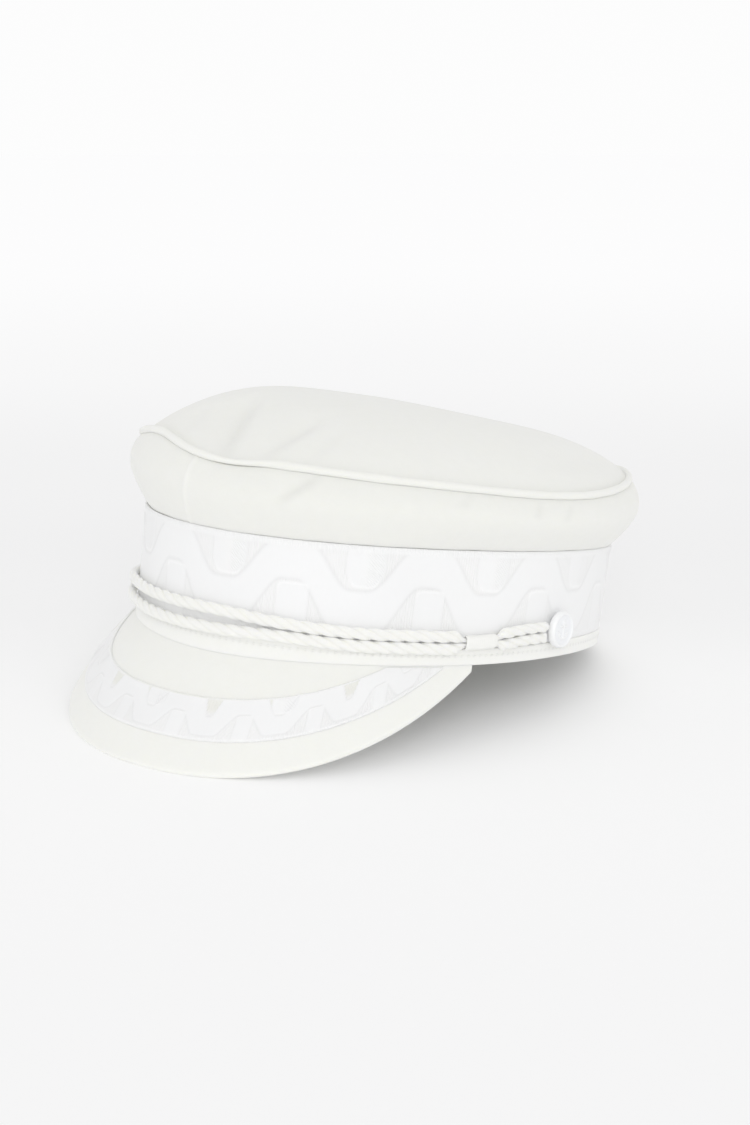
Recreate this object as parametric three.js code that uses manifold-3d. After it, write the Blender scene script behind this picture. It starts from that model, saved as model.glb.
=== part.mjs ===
// A skipper cap of cream wool felt, as it lies by itself on a table, in millimetres.
// The cap is first described upright: its band stands on z = 0, its front faces -Y, the wearer's
// left is +X, and angles run round the head from the front (0) towards the wearer's left (90).
// It is then leaned back until the visor's front edge and the back of the band both touch z = 0.
import * as THREE from 'three';
import Module from 'manifold-3d';
import { mergeVertices } from 'three/addons/utils/BufferGeometryUtils.js';

const wasm = await Module();
wasm.setup();

// Driving dimensions: lengths in mm, angles in degrees
const head = { halfWidth: 82.7, halfLength: 101.7, egg: 0.02, flare: 0.01 };
const cloth = 1.8;
const gap = 0.3;
const steps = 56;

const band = {
  height: 41.1, topWave: -1.2, bottomWave: -0.95, bottomLift: 1.9, liftAngle: 108, liftWidth: 32,
  face: -0.9,
};
const welt = { height: 5.4, face: 0.5, edge: 0.6 };
const ribbon = { bottom: 5.8, face: 0.1, selvedge: 2.2, selvedgeFace: 0.5 };
const crown = {
  foot: 0.2, tuck: 1.2, tuckAngle: -50, tuckWidth: 32, bulge: 5.2, sideBulge: 1, rightBulge: 0.8,
  lean: 1.2, fullness: 0.85,
  seamTop: 0.8, seamLean: 2.8, seamSpan: 60, probe: 0.02, levelShare: 0.25,
};
const dome = {
  height: 88, fallBack: 0.054, fallSide: 0.044, edgePower: 2.83, backPower: 2.84, seat: 0.6, creasePower: 12,
  steps: 72,
};
const piping = { radius: 1.5, sides: 6 };
const visor = {
  halfAngle: 69.4, length: 48.7, power: 2.58, fan: 0.92, slopeIn: 47.6, slopeOut: 65.2,
  slopeSide: 1.3, thick: 2.6, corner: 0.985, edgeRound: 0.7,
};
const trim = { outer: 12.2, inner: 28.3, thick: 0.6, endAngle: 0.885, seamEdge: 0.8 };
const cord = { radius: 2.2, pinched: 0.85, endAngle: 86.6, sides: 6, stepAngle: 3.7 };
const slide = {
  angle: 68.6, halfLength: 6.6, halfHeight: 2.7, halfDepth: 1.75, wall: 0.5, sides: 12,
};
const button = {
  angle: 91, height: 13.6, radius: 7, back: 1.3, face: 4.4, rim: 1.3, sink: 0.6, shank: 1.8, soft: 0.5,
  sides: 20,
};
const anchor = {
  half: 0.4, low: 3.2, ringHeight: 2.75, ringRadius: 0.95, ringHole: 0.42, stockHalf: 1.7, stockHeight: 1.3,
  armOuter: { height: -0.4, radius: 3.1, sweep: 72 }, armInner: { height: 0.3, radius: 2.9, sweep: 65 },
  depth: 0.9, bury: 0.4, curveSegments: 5,
};
const rest = { tilt: 10.27, drop: 18.72, forward: 7.4, aside: -0.95 };

// The rim where the crown's top meets its sides: height above the band and reach beyond it
const rim = [
  { angle: -180, rise: 28.0, reach: 1.1 },
  { angle: -135, rise: 26.3, reach: 3.0 },
  { angle: -90, rise: 24.2, reach: 5.2 },
  { angle: -50, rise: 24.9, reach: 4.4 },
  { angle: -20, rise: 29.1, reach: 2.0 },
  { angle: 0, rise: 24.4, reach: 3.2 },
  { angle: 20, rise: 24.3, reach: 2.2 },
  { angle: 50, rise: 23.4, reach: 3.3 },
  { angle: 90, rise: 22.7, reach: 5.6 },
  { angle: 135, rise: 28.8, reach: 2.9 },
  { angle: 180, rise: 28.0, reach: 1.1 },
];

// Soft creases pressed into the top: each runs between two places and is deepest half way; left and
// right are the widths of its two slopes, seen from where it starts
const creases = [
  { fromX: 8, fromY: -106, toX: -15, toY: -66, depth: 4.8, left: 11, right: 4.5 },
  { fromX: 21, fromY: -103, toX: 20, toY: -70, depth: 2.8, left: 8, right: 4.5 },
  { fromX: 37, fromY: -94, toX: 33, toY: -74, depth: 1.0, left: 6, right: 4 },
  { fromX: -16, fromY: -97, toX: -26, toY: -80, depth: 2.0, left: 6, right: 6 },
  { fromX: 76, fromY: -4, toX: 66, toY: 50, depth: 2.5, left: 7, right: 7 },
];

// The two cords' heights above the band's bottom edge, as they run round the front
const cordRun = [
  { angle: -90, upper: 14.95, lower: 10.25 },
  { angle: -85, upper: 14.8, lower: 10.1 },
  { angle: -80, upper: 13.95, lower: 9.25 },
  { angle: -75, upper: 12.75, lower: 8.05 },
  { angle: -69, upper: 12.0, lower: 7.3 },
  { angle: -62, upper: 11.9, lower: 7.1 },
  { angle: -54, upper: 12.2, lower: 7.0 },
  { angle: -31, upper: 12.9, lower: 6.4 },
  { angle: -10, upper: 12.5, lower: 5.2 },
  { angle: 10, upper: 12.6, lower: 5.5 },
  { angle: 23, upper: 11.9, lower: 6.2 },
  { angle: 31, upper: 11.3, lower: 6.3 },
  { angle: 42, upper: 10.9, lower: 6.1 },
  { angle: 54, upper: 11.4, lower: 6.7 },
  { angle: 62, upper: 11.65, lower: 6.95 },
  { angle: 69, upper: 12.0, lower: 7.3 },
  { angle: 75, upper: 12.75, lower: 8.05 },
  { angle: 80, upper: 13.95, lower: 9.25 },
  { angle: 85, upper: 14.8, lower: 10.1 },
  { angle: 90, upper: 14.95, lower: 10.25 },
];

const radians = THREE.MathUtils.degToRad;
const mix = THREE.MathUtils.lerp;
const clamp = THREE.MathUtils.clamp;

// A value of a table's column at an angle, by a smooth curve through the rows
function readTable(table, column, angle) {
  const last = table.length - 1;
  const at = clamp(angle, table[0].angle, table[last].angle);
  let row = table.findIndex((entry) => entry.angle >= at);
  row = Math.max(row, 1);
  const looped = table[0][column] === table[last][column] && table[last].angle - table[0].angle === 360;
  const slope = (index) => {
    const before = index > 0 ? table[index - 1] : looped ? table[last - 1] : table[0];
    const after = index < last ? table[index + 1] : looped ? table[1] : table[last];
    let span = after.angle - before.angle;
    if (span <= 0) span += 360;
    return (after[column] - before[column]) / span;
  };
  const low = table[row - 1];
  const high = table[row];
  const span = high.angle - low.angle;
  const t = (at - low.angle) / span;
  const keepLow = 2 * t ** 3 - 3 * t ** 2 + 1;
  const keepHigh = 3 * t ** 2 - 2 * t ** 3;
  const bendLow = t ** 3 - 2 * t ** 2 + t;
  const bendHigh = t ** 3 - t ** 2;
  return keepLow * low[column] + keepHigh * high[column]
    + span * (bendLow * slope(row - 1) + bendHigh * slope(row));
}

// An angle brought into -180 to 180
const wrapped = (angle) => ((angle + 540) % 360) - 180;

// The horizontal direction that points straight out of the head's oval
function outward(angle) {
  const t = radians(angle);
  const alongX = head.halfWidth * (Math.cos(t) - head.egg * Math.cos(2 * t));
  const alongY = head.halfLength * Math.sin(t);
  return new THREE.Vector3(alongY, -alongX, 0).normalize();
}

// A point on the head's egg-shaped oval, moved out from it by so much, at a height
function oval(angle, out, z) {
  const t = radians(angle);
  const scale = 1 + head.flare * clamp(z / band.height, 0, 1);
  const x = head.halfWidth * Math.sin(t) * (1 - head.egg * Math.cos(t));
  const y = -head.halfLength * Math.cos(t);
  return new THREE.Vector3(x * scale, y * scale, z).addScaledVector(outward(angle), out);
}

// A bell: 1 where the value is at its centre, falling to 0 on both sides
const near = (value, centre, width) => Math.exp(-(((value - centre) / width) ** 2));

const bandTop = (angle) => band.height + band.topWave * Math.cos(2 * radians(angle));

// The band's lower edge rises a little over the ears
function bandBottom(angle) {
  const lift = band.bottomLift * near(Math.abs(wrapped(angle)), band.liftAngle, band.liftWidth);
  return band.bottomWave * Math.cos(2 * radians(angle)) + lift;
}

function rimPoint(angle, out = 0, up = 0) {
  const at = wrapped(angle);
  const reach = readTable(rim, 'reach', at);
  const rise = readTable(rim, 'rise', at);
  return oval(at, reach + out, band.height + rise + up);
}

// A closed body from rows of points. Neighbouring rows are joined all round; the first and last rows
// are joined to each other (loop), closed by a point each (tips), or otherwise closed by strips across.
function body(rows, { loop = false, tips = null } = {}) {
  const points = rows.flat();
  const count = rows[0].length;
  const triangles = [];
  const quad = (a, b, c, d) => triangles.push([a, b, c], [a, c, d]);
  const joins = loop ? rows.length : rows.length - 1;
  for (let row = 0; row < joins; row += 1) {
    const here = row * count;
    const next = ((row + 1) % rows.length) * count;
    for (let i = 0; i < count; i += 1) {
      const j = (i + 1) % count;
      quad(here + i, next + i, next + j, here + j);
    }
  }
  const lastRow = (rows.length - 1) * count;
  if (tips) {
    points.push(...tips);
    for (let i = 0; i < count; i += 1) {
      const j = (i + 1) % count;
      triangles.push([rows.length * count, i, j], [rows.length * count + 1, lastRow + j, lastRow + i]);
    }
  } else if (!loop) {
    for (let i = 0; i < count / 2 - 1; i += 1) {
      const far = count - 1 - i;
      quad(i, i + 1, far - 1, far);
      quad(lastRow + i, lastRow + far, lastRow + far - 1, lastRow + i + 1);
    }
  }
  const geometry = new THREE.BufferGeometry().setFromPoints(points);
  geometry.setIndex(triangles.flat());
  return facingOut(geometry);
}

// The same body with its faces turned to point outwards
function facingOut(geometry) {
  const place = geometry.attributes.position;
  const index = geometry.index.array;
  const [a, b, c] = [new THREE.Vector3(), new THREE.Vector3(), new THREE.Vector3()];
  let volume = 0;
  for (let i = 0; i < index.length; i += 3) {
    a.fromBufferAttribute(place, index[i]);
    b.fromBufferAttribute(place, index[i + 1]);
    c.fromBufferAttribute(place, index[i + 2]);
    volume += a.dot(b.cross(c));
  }
  if (volume < 0) {
    for (let i = 0; i < index.length; i += 3) {
      [index[i], index[i + 1]] = [index[i + 1], index[i]];
    }
  }
  return geometry;
}

function toSolid(geometry) {
  const bare = geometry.clone();
  bare.deleteAttribute('normal');
  bare.deleteAttribute('uv');
  const merged = mergeVertices(bare, 1e-4);
  const index = merged.index.array;
  const kept = [];
  for (let i = 0; i < index.length; i += 3) {
    const [a, b, c] = index.slice(i, i + 3);
    if (a !== b && b !== c && c !== a) kept.push(a, b, c);
  }
  const vertProperties = Float32Array.from(merged.attributes.position.array);
  return new wasm.Manifold(new wasm.Mesh({ numProp: 3, vertProperties, triVerts: Uint32Array.from(kept) }));
}

function fromSolid(solid) {
  const mesh = solid.getMesh();
  const geometry = new THREE.BufferGeometry();
  geometry.setAttribute('position', new THREE.BufferAttribute(mesh.vertProperties, 3));
  geometry.setIndex(new THREE.BufferAttribute(mesh.triVerts, 1));
  return geometry;
}

// From the upright cap to the cap at rest on the table
const atRest = new THREE.Matrix4()
  .makeRotationX(-radians(rest.tilt))
  .premultiply(new THREE.Matrix4().makeTranslation(rest.aside, rest.forward, rest.drop));

// What touches the table is pressed flat there: all that reaches below z = 0 is cut away
function flattened(geometry) {
  const reach = 300;
  const below = new THREE.BoxGeometry(reach * 2, reach * 2, reach).translate(0, 0, -reach / 2);
  return fromSolid(toSolid(geometry).subtract(toSolid(below)));
}

// Angles all round, without the last one twice
const round = (count = steps) => Array.from({ length: count }, (_, i) => -180 + (360 * i) / count);
const between = (from, to, count) => Array.from({ length: count + 1 }, (_, i) => mix(from, to, i / count));

// A wall that runs all round: profile(angle) gives its cross-section as [out, height] pairs
function ringWall(profile) {
  const rows = round().map((angle) => profile(angle).map(([out, z]) => oval(angle, out, z)));
  return body(rows, { loop: true });
}

function makeBand() {
  return ringWall((angle) => {
    const top = bandTop(angle) - gap;
    const bottom = bandBottom(angle);
    return [[band.face, bottom], [band.face, top], [band.face - cloth, top], [band.face - cloth, bottom]];
  });
}

function makeWelt() {
  const inner = band.face + gap;
  return ringWall((angle) => {
    const bottom = bandBottom(angle);
    const top = bottom + welt.height;
    return [
      [inner, bottom], [welt.face - welt.edge, bottom], [welt.face, bottom + welt.edge],
      [welt.face, top - welt.edge], [welt.face - welt.edge, top], [inner, top],
    ];
  });
}

// The ribbon's two woven edges stand a little thicker than its middle
function makeRibbon() {
  const inner = band.face + gap;
  return ringWall((angle) => {
    const bottom = bandBottom(angle) + ribbon.bottom;
    const top = bandTop(angle) - gap;
    return [
      [inner, bottom], [ribbon.selvedgeFace, bottom],
      [ribbon.selvedgeFace, bottom + ribbon.selvedge], [ribbon.face, bottom + ribbon.selvedge + gap],
      [ribbon.face, top - ribbon.selvedge - gap], [ribbon.selvedgeFace, top - ribbon.selvedge],
      [ribbon.selvedgeFace, top], [inner, top],
    ];
  });
}

// The front seam leans towards the wearer's right as it goes down, and draws the cloth beside it along
function leaned(angle, v) {
  const shift = crown.seamTop + crown.seamLean * (1 - v) ** 2;
  return angle - shift * Math.max(0, 1 - Math.abs(angle) / crown.seamSpan);
}

// The outside of the crown's side: from the band (v = 0) it swells out and comes back to the rim (v = 1)
function sideFace(from, v) {
  const angle = leaned(from, v);
  const reach = crown.foot - crown.tuck * near(angle, crown.tuckAngle, crown.tuckWidth);
  const foot = oval(angle, reach, bandTop(angle));
  const top = rimPoint(angle, cloth / 2, -piping.radius - gap);
  const t = radians(angle);
  const fuller = crown.rightBulge * near(angle, crown.tuckAngle, crown.tuckWidth);
  const swell = (crown.bulge + crown.sideBulge * Math.sin(t) + fuller)
    * Math.sin(Math.PI * clamp(v, 0, 1) ** crown.lean) ** crown.fullness;
  return foot.lerp(top, v).addScaledVector(outward(angle), swell);
}

// The crown's side between two angles, one thickness of cloth deep. The thickness is measured square
// to the swelling face, and turns level towards the two edges, which are sewn flat.
function makeCrownSide(from, to) {
  const heights = [0, 0.08, 0.22, 0.42, 0.62, 0.8, 0.93, 1];
  const { probe, levelShare } = crown;
  const rows = between(from, to, steps / 2).map((angle) => {
    const outer = heights.map((v) => sideFace(angle, v));
    const inner = heights.map((v, i) => {
      const out = outward(leaned(angle, v));
      const up = sideFace(angle, Math.min(v + probe, 1)).sub(sideFace(angle, Math.max(v - probe, 0)));
      const along = new THREE.Vector3(0, 0, 1).cross(out);
      const square = along.cross(up).normalize();
      const inside = Math.min(1, v / levelShare, (1 - v) / levelShare);
      return outer[i].clone().addScaledVector(out.lerp(square, inside).normalize(), -cloth);
    });
    return [...outer, ...inner.reverse()];
  });
  return body(rows);
}

function creaseDepth(x, y) {
  return creases.reduce((sum, fold) => {
    const spanX = fold.toX - fold.fromX;
    const spanY = fold.toY - fold.fromY;
    const length = Math.hypot(spanX, spanY);
    const along = ((x - fold.fromX) * spanX + (y - fold.fromY) * spanY) / length;
    const across = ((x - fold.fromX) * spanY - (y - fold.fromY) * spanX) / length;
    const middle = (2 * along) / length - 1;
    const width = across > 0 ? fold.right : fold.left;
    return sum + fold.depth * Math.exp(-((across / width) ** 2) - middle ** 4);
  }, 0);
}

// The dome of the crown's top: share runs from its middle (0) to its edge (1)
function domePoint(angle, share) {
  const edge = rimPoint(angle, -piping.radius - gap, dome.seat);
  const x = edge.x * share;
  const y = edge.y * share;
  const power = dome.edgePower + (dome.backPower * (1 - Math.cos(radians(angle)))) / 2;
  const keep = share ** power;
  const middle = dome.height - dome.fallBack * y - dome.fallSide * x;
  const deep = creaseDepth(x, y) * (1 - share ** dome.creasePower);
  return new THREE.Vector3(x, y, edge.z * keep + middle * (1 - keep) - deep);
}

function makeCrownTop() {
  const shares = [0.22, 0.44, 0.62, 0.75, 0.86, 0.94, 1];
  const down = new THREE.Vector3(0, 0, -cloth);
  const outer = shares.map((share) => round(dome.steps).map((angle) => domePoint(angle, share)));
  const inner = outer.map((row) => row.map((point) => point.clone().add(down)));
  const middle = domePoint(0, 0);
  return body([...outer, ...inner.reverse()], { tips: [middle, middle.clone().add(down)] });
}

function makePiping() {
  const rows = round().map((angle) => between(0, 360, piping.sides).slice(1).map((turn) => rimPoint(
    angle, piping.radius * Math.cos(radians(turn)), piping.radius * Math.sin(radians(turn)),
  )));
  return body(rows, { loop: true });
}

// How far the visor reaches from its seam, measured along its surface; side runs from -1 to 1
const visorReach = (side) => visor.length * (1 - Math.abs(side) ** visor.power);

// A point on the visor's upper face at a distance from the seam, and the direction square to it.
// The visor leaves the band's bottom edge steeply and curves down more and more, as an arc.
function visorFace(side, distance) {
  const angle = visor.halfAngle * side;
  const t = radians(angle);
  const seam = oval(angle, 0, bandBottom(angle) - gap);
  const heading = new THREE.Vector3(visor.fan * Math.sin(t), -1, 0).normalize();
  const start = radians(visor.slopeIn + visor.slopeSide * Math.sin(t) ** 2);
  const turn = radians(visor.slopeOut - visor.slopeIn) / visor.length;
  const end = start + turn * distance;
  const run = (Math.sin(end) - Math.sin(start)) / turn;
  const fall = (Math.cos(start) - Math.cos(end)) / turn;
  const point = seam.addScaledVector(heading, run).add(new THREE.Vector3(0, 0, -fall));
  const square = heading.multiplyScalar(Math.sin(end)).add(new THREE.Vector3(0, 0, Math.cos(end)));
  return { point, square };
}

const visorOffset = (side, distance, lift) => {
  const { point, square } = visorFace(side, distance);
  return point.addScaledVector(square, lift);
};

function makeVisor() {
  const rows = between(-visor.corner, visor.corner, 44).map((side) => {
    const length = visorReach(side);
    const ease = Math.min(visor.edgeRound, length / 3);
    const places = [0, 0.2, 0.4, 0.6, 0.8, 1].map((share) => share * (length - ease));
    const upper = places.map((distance) => visorOffset(side, distance, 0));
    const lower = places.map((distance) => visorOffset(side, distance, -visor.thick));
    const edge = [
      visorOffset(side, length, -ease),
      visorOffset(side, length, ease - visor.thick),
    ];
    return [...upper, ...edge, ...lower.reverse()];
  });
  return body(rows);
}

function makeVisorTrim() {
  const rows = between(-trim.endAngle, trim.endAngle, 40).map((side) => {
    const length = visorReach(side);
    const outer = length - trim.outer;
    const inner = Math.min(Math.max(length - trim.inner, trim.seamEdge), outer - trim.seamEdge);
    const places = between(inner, outer, 2);
    const upper = places.map((distance) => visorOffset(side, distance, gap + trim.thick));
    const lower = places.map((distance) => visorOffset(side, distance, gap));
    return [...upper, ...lower.reverse()];
  });
  return body(rows);
}

const slideHalfAngle = THREE.MathUtils.radToDeg(slide.halfLength / head.halfLength);

// How tightly the slides squeeze the cords at an angle: 1 in a slide and just beside it, 0 where they
// run free
function squeeze(angle) {
  const tightUpTo = slideHalfAngle + cord.stepAngle;
  const away = Math.abs(Math.abs(angle) - slide.angle);
  return 1 - THREE.MathUtils.smoothstep(away, tightUpTo, tightUpTo + cord.stepAngle);
}

// The middle of one cord; a slide draws both cords together, and they stand off by its wall
function cordMiddle(angle, which) {
  const tight = squeeze(angle);
  const free = readTable(cordRun, which, angle);
  const middle = (readTable(cordRun, 'upper', angle) + readTable(cordRun, 'lower', angle)) / 2;
  const drawn = middle + (which === 'upper' ? 1 : -1) * (cord.pinched + gap / 2);
  const clearOfRibbon = ribbon.selvedgeFace + gap + cord.radius;
  const insideSlide = ribbon.selvedgeFace + gap + slide.halfDepth;
  return { out: mix(clearOfRibbon, insideSlide, tight), z: mix(free, drawn, tight) };
}

function makeCord(which) {
  const count = Math.round((2 * cord.endAngle) / cord.stepAngle);
  const rows = between(-cord.endAngle, cord.endAngle, count).map((angle) => {
    const radius = mix(cord.radius, cord.pinched, squeeze(angle));
    const { out, z } = cordMiddle(angle, which);
    return between(0, 360, cord.sides).slice(1).map((turn) => oval(
      angle, out + radius * Math.cos(radians(turn)), z + radius * Math.sin(radians(turn)),
    ));
  });
  return body(rows);
}

// A flat-sided sleeve round both cords, with a round-ended opening right through
function makeSlide(sign) {
  const outline = (angle, inset) => {
    const halfHeight = slide.halfHeight - inset;
    const halfDepth = slide.halfDepth - inset;
    const { out } = cordMiddle(angle, 'upper');
    const z = (cordMiddle(angle, 'upper').z + cordMiddle(angle, 'lower').z) / 2;
    return between(0, 360, slide.sides).slice(1).map((turn) => {
      const t = radians(turn);
      const half = Math.sign(Math.round(2 * Math.sin(t)));
      const centre = z + half * (halfHeight - halfDepth);
      return oval(angle, out + halfDepth * Math.cos(t), centre + halfDepth * Math.sin(t));
    });
  };
  const angles = between(sign * slide.angle - slideHalfAngle, sign * slide.angle + slideHalfAngle, 3);
  const outside = angles.map((angle) => outline(angle, 0));
  const inside = angles.map((angle) => outline(angle, slide.wall));
  return body([...outside, ...inside.reverse()], { loop: true });
}

// A small raised anchor: ring, stock, shank and two arms, as flat shapes of one thickness.
// The arms are a crescent between two arcs, open to the top.
function anchorShapes() {
  const { half, low, ringHeight, ringRadius, ringHole, stockHalf, stockHeight, armOuter, armInner } = anchor;
  const bar = (halfWidth, bottom, top) => new THREE.Shape([
    new THREE.Vector2(-halfWidth, bottom), new THREE.Vector2(halfWidth, bottom),
    new THREE.Vector2(halfWidth, top), new THREE.Vector2(-halfWidth, top),
  ]);
  const ring = new THREE.Shape().absarc(0, ringHeight, ringRadius, 0, 2 * Math.PI);
  ring.holes.push(new THREE.Path().absarc(0, ringHeight, ringHole, 0, 2 * Math.PI, true));
  const arms = new THREE.Shape();
  const sweep = (arc, side) => radians(270 + side * arc.sweep);
  arms.absarc(0, armOuter.height, armOuter.radius, sweep(armOuter, -1), sweep(armOuter, 1));
  arms.absarc(0, armInner.height, armInner.radius, sweep(armInner, 1), sweep(armInner, -1), true);
  const stock = bar(stockHalf, stockHeight - half, stockHeight + half);
  return [bar(half, -low, ringHeight - ringHole - half / 2), stock, ring, arms];
}

// A shank button: a short post, a rounded disc with a raised rim, and an anchor on its sunk middle
function makeButton(sign) {
  const { radius, back, face, rim: rimWidth, sink, shank, soft } = button;
  const floor = radius - rimWidth - soft;
  const middle = (back + face) / 2;
  const profile = [
    [0, 0], [shank, 0], [shank, back], [radius - 2 * soft, back], [radius, middle - soft],
    [radius, middle + soft], [radius - soft, face - soft / 2], [radius - rimWidth / 2, face],
    [radius - rimWidth, face], [floor, face - sink], [0, face - sink],
  ].map(([x, y]) => new THREE.Vector2(x, y));
  const disc = new THREE.LatheGeometry(profile, button.sides).rotateX(Math.PI / 2);
  const embossing = { depth: anchor.depth, bevelEnabled: false, curveSegments: anchor.curveSegments };
  const solid = anchorShapes().reduce((joined, shape) => {
    const raised = new THREE.ExtrudeGeometry(shape, embossing).translate(0, 0, face - sink - anchor.bury);
    return joined.add(toSolid(raised));
  }, toSolid(disc));

  const angle = sign * button.angle;
  const seat = oval(angle, ribbon.selvedgeFace + gap, button.height);
  const out = outward(angle);
  const up = new THREE.Vector3(0, 0, 1);
  const frame = new THREE.Matrix4().makeBasis(up.clone().cross(out), up, out).setPosition(seat);
  return fromSolid(solid).applyMatrix4(frame);
}

const colours = {
  wool: { color: 0xf0efe4, roughness: 0.95, metalness: 0 },
  ribbon: { color: 0xf7f7f8, roughness: 0.55, metalness: 0 },
  cord: { color: 0xf3f0e2, roughness: 0.7, metalness: 0 },
  button: { color: 0xf1f3f8, roughness: 0.35, metalness: 0 },
};

const cap = new THREE.Group();

function addPiece(name, geometry, colour, touchesTable = false) {
  geometry.applyMatrix4(atRest);
  const mesh = new THREE.Mesh(
    touchesTable ? flattened(geometry) : geometry,
    new THREE.MeshStandardMaterial(colours[colour]),
  );
  mesh.name = name;
  cap.add(mesh);
}

const seamHalf = THREE.MathUtils.radToDeg(gap / 2 / head.halfWidth);

addPiece('crown_top', makeCrownTop(), 'wool');
addPiece('crown_side_left', makeCrownSide(seamHalf, 180 - seamHalf), 'wool');
addPiece('crown_side_right', makeCrownSide(seamHalf - 180, -seamHalf), 'wool');
addPiece('crown_piping', makePiping(), 'wool');
addPiece('band', makeBand(), 'wool', true);
addPiece('band_welt', makeWelt(), 'wool', true);
addPiece('band_ribbon', makeRibbon(), 'ribbon');
addPiece('visor', makeVisor(), 'wool', true);
addPiece('visor_trim', makeVisorTrim(), 'ribbon');
addPiece('cord_upper', makeCord('upper'), 'cord');
addPiece('cord_lower', makeCord('lower'), 'cord');
for (const [side, sign] of [['left', 1], ['right', -1]]) {
  addPiece(`cord_slide_${side}`, makeSlide(sign), 'cord');
  addPiece(`button_${side}`, makeButton(sign), 'button');
}

export default cap;
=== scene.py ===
# Skipper cap of cream wool felt with a woven ribbon, twisted cords and two buttons
import math

import bpy
import numpy as np
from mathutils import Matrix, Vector


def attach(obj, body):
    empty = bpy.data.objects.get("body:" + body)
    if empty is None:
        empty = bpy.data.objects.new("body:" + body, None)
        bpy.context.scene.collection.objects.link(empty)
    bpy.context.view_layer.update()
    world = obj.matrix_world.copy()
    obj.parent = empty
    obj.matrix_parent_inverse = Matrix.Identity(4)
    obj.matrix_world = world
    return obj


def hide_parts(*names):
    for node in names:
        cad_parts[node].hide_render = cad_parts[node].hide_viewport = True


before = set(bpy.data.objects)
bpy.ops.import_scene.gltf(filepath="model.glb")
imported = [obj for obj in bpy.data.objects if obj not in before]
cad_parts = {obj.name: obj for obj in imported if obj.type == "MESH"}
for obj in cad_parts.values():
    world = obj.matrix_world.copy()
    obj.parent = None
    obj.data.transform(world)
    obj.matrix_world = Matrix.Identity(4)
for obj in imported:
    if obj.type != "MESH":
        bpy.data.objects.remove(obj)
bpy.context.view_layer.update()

# Shapes are worked out for the upright cap in mm: the band stands on z = 0, the front faces -Y and
# angles in degrees run from the front (0) to the wearer's left (90). settled() lays it on the table.
head = {"halfWidth": 82.7, "halfLength": 101.7, "egg": 0.02, "flare": 0.01}
cloth = {"thick": 1.8, "gap": 0.3}
rest = {"tilt": 10.27, "drop": 18.72, "forward": 7.4, "aside": -0.95}
camera = {"azimuth": 39.41, "elevation": 15.03, "distance": 689.5, "lens": 56.07, "sensor": 36,
          "aside": 2.32, "target": (-0.95, 5.77, 43.7)}


# Basic forms

def soft(t):
    # smooth step: 3t^2 - 2t^3 between 0 and 1
    t = np.clip(t, 0, 1)
    return t * t * (3 - 2 * t)


def near(value, centre, width):
    # bell: exp(-(distance / width)^2)
    return np.exp(-((value - centre) / width) ** 2)


def apart(angle, centre):
    # degrees from centre to angle, brought into -180 to 180
    return (angle - centre + 180) % 360 - 180


def lumps(x, y, size):
    # soft unevenness between -1 and 1: crossed sine waves of unlike lengths
    wander = np.sin(x / size + 0.7 * np.sin(y / (1.7 * size))) * np.cos(y / (1.3 * size) + 1.1)
    return (wander + 0.6 * np.sin((x + 1.9 * y) / (2.3 * size) + 0.4)) / 1.6


def readTable(table, column, angle):
    # cubic through the rows; each row's slope is that from the row before it to the row after it
    at = np.array(table["angle"], float)
    value = np.array(table[column], float)
    turn = at[-1] - at[0] if at[-1] - at[0] == 360 else 0
    before = np.r_[at[-2] - turn, at[:-1]] if turn else np.r_[at[0], at[:-1]]
    after = np.r_[at[1:], at[1] + turn] if turn else np.r_[at[1:], at[-1]]
    valueBefore = np.r_[value[-2] if turn else value[0], value[:-1]]
    valueAfter = np.r_[value[1:], value[1] if turn else value[-1]]
    slope = (valueAfter - valueBefore) / (after - before)
    angle = np.clip(angle, at[0], at[-1])
    row = np.clip(np.searchsorted(at, angle), 1, len(at) - 1)
    span = at[row] - at[row - 1]
    t = (angle - at[row - 1]) / span
    ends = (2 * t**3 - 3 * t**2 + 1) * value[row - 1] + (3 * t**2 - 2 * t**3) * value[row]
    return ends + span * ((t**3 - 2 * t**2 + t) * slope[row - 1] + (t**3 - t**2) * slope[row])


def spot(x, y, z):
    # three coordinates, spread to one shape, as points
    return np.stack(np.broadcast_arrays(x, y, z), -1).astype(float)


def unit(vector):
    # the vector over its length
    return vector / np.maximum(np.linalg.norm(vector, axis=-1, keepdims=True), 1e-9)


def outward(angle):
    # level direction square to the head's oval
    t = np.radians(angle)
    alongX = head["halfWidth"] * (np.cos(t) - head["egg"] * np.cos(2 * t))
    return unit(spot(head["halfLength"] * np.sin(t), -alongX, 0))


def oval(angle, out, z):
    # the head's egg-shaped oval, moved out by so much, at height z; it widens a little upwards
    t = np.radians(angle)
    scale = 1 + head["flare"] * np.clip(z / band["height"], 0, 1)
    x = head["halfWidth"] * np.sin(t) * (1 - head["egg"] * np.cos(t)) * scale
    y = -head["halfLength"] * np.cos(t) * scale
    out = np.broadcast_to(out, np.broadcast(angle, out).shape)
    return spot(x, y, z) + outward(angle) * out[..., None]


def arcFromFront(angle):
    # mm along the oval from the front to each angle, summed over a tenth of a degree at a time
    fine = np.radians(np.linspace(-180, 180, 3601))
    x = head["halfWidth"] * np.sin(fine) * (1 - head["egg"] * np.cos(fine))
    y = -head["halfLength"] * np.cos(fine)
    run = np.r_[0, np.cumsum(np.hypot(np.diff(x), np.diff(y)))]
    return np.interp(angle, np.degrees(fine), run - run[len(run) // 2])


def settled(points):
    # leaned back about X, moved onto the table, and turned into metres
    t = math.radians(rest["tilt"])
    x, y, z = points[..., 0], points[..., 1], points[..., 2]
    y, z = y * math.cos(t) + z * math.sin(t), z * math.cos(t) - y * math.sin(t)
    return spot(x + rest["aside"], y + rest["forward"], z + rest["drop"]) / 1000


# Meshes from grids

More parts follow.
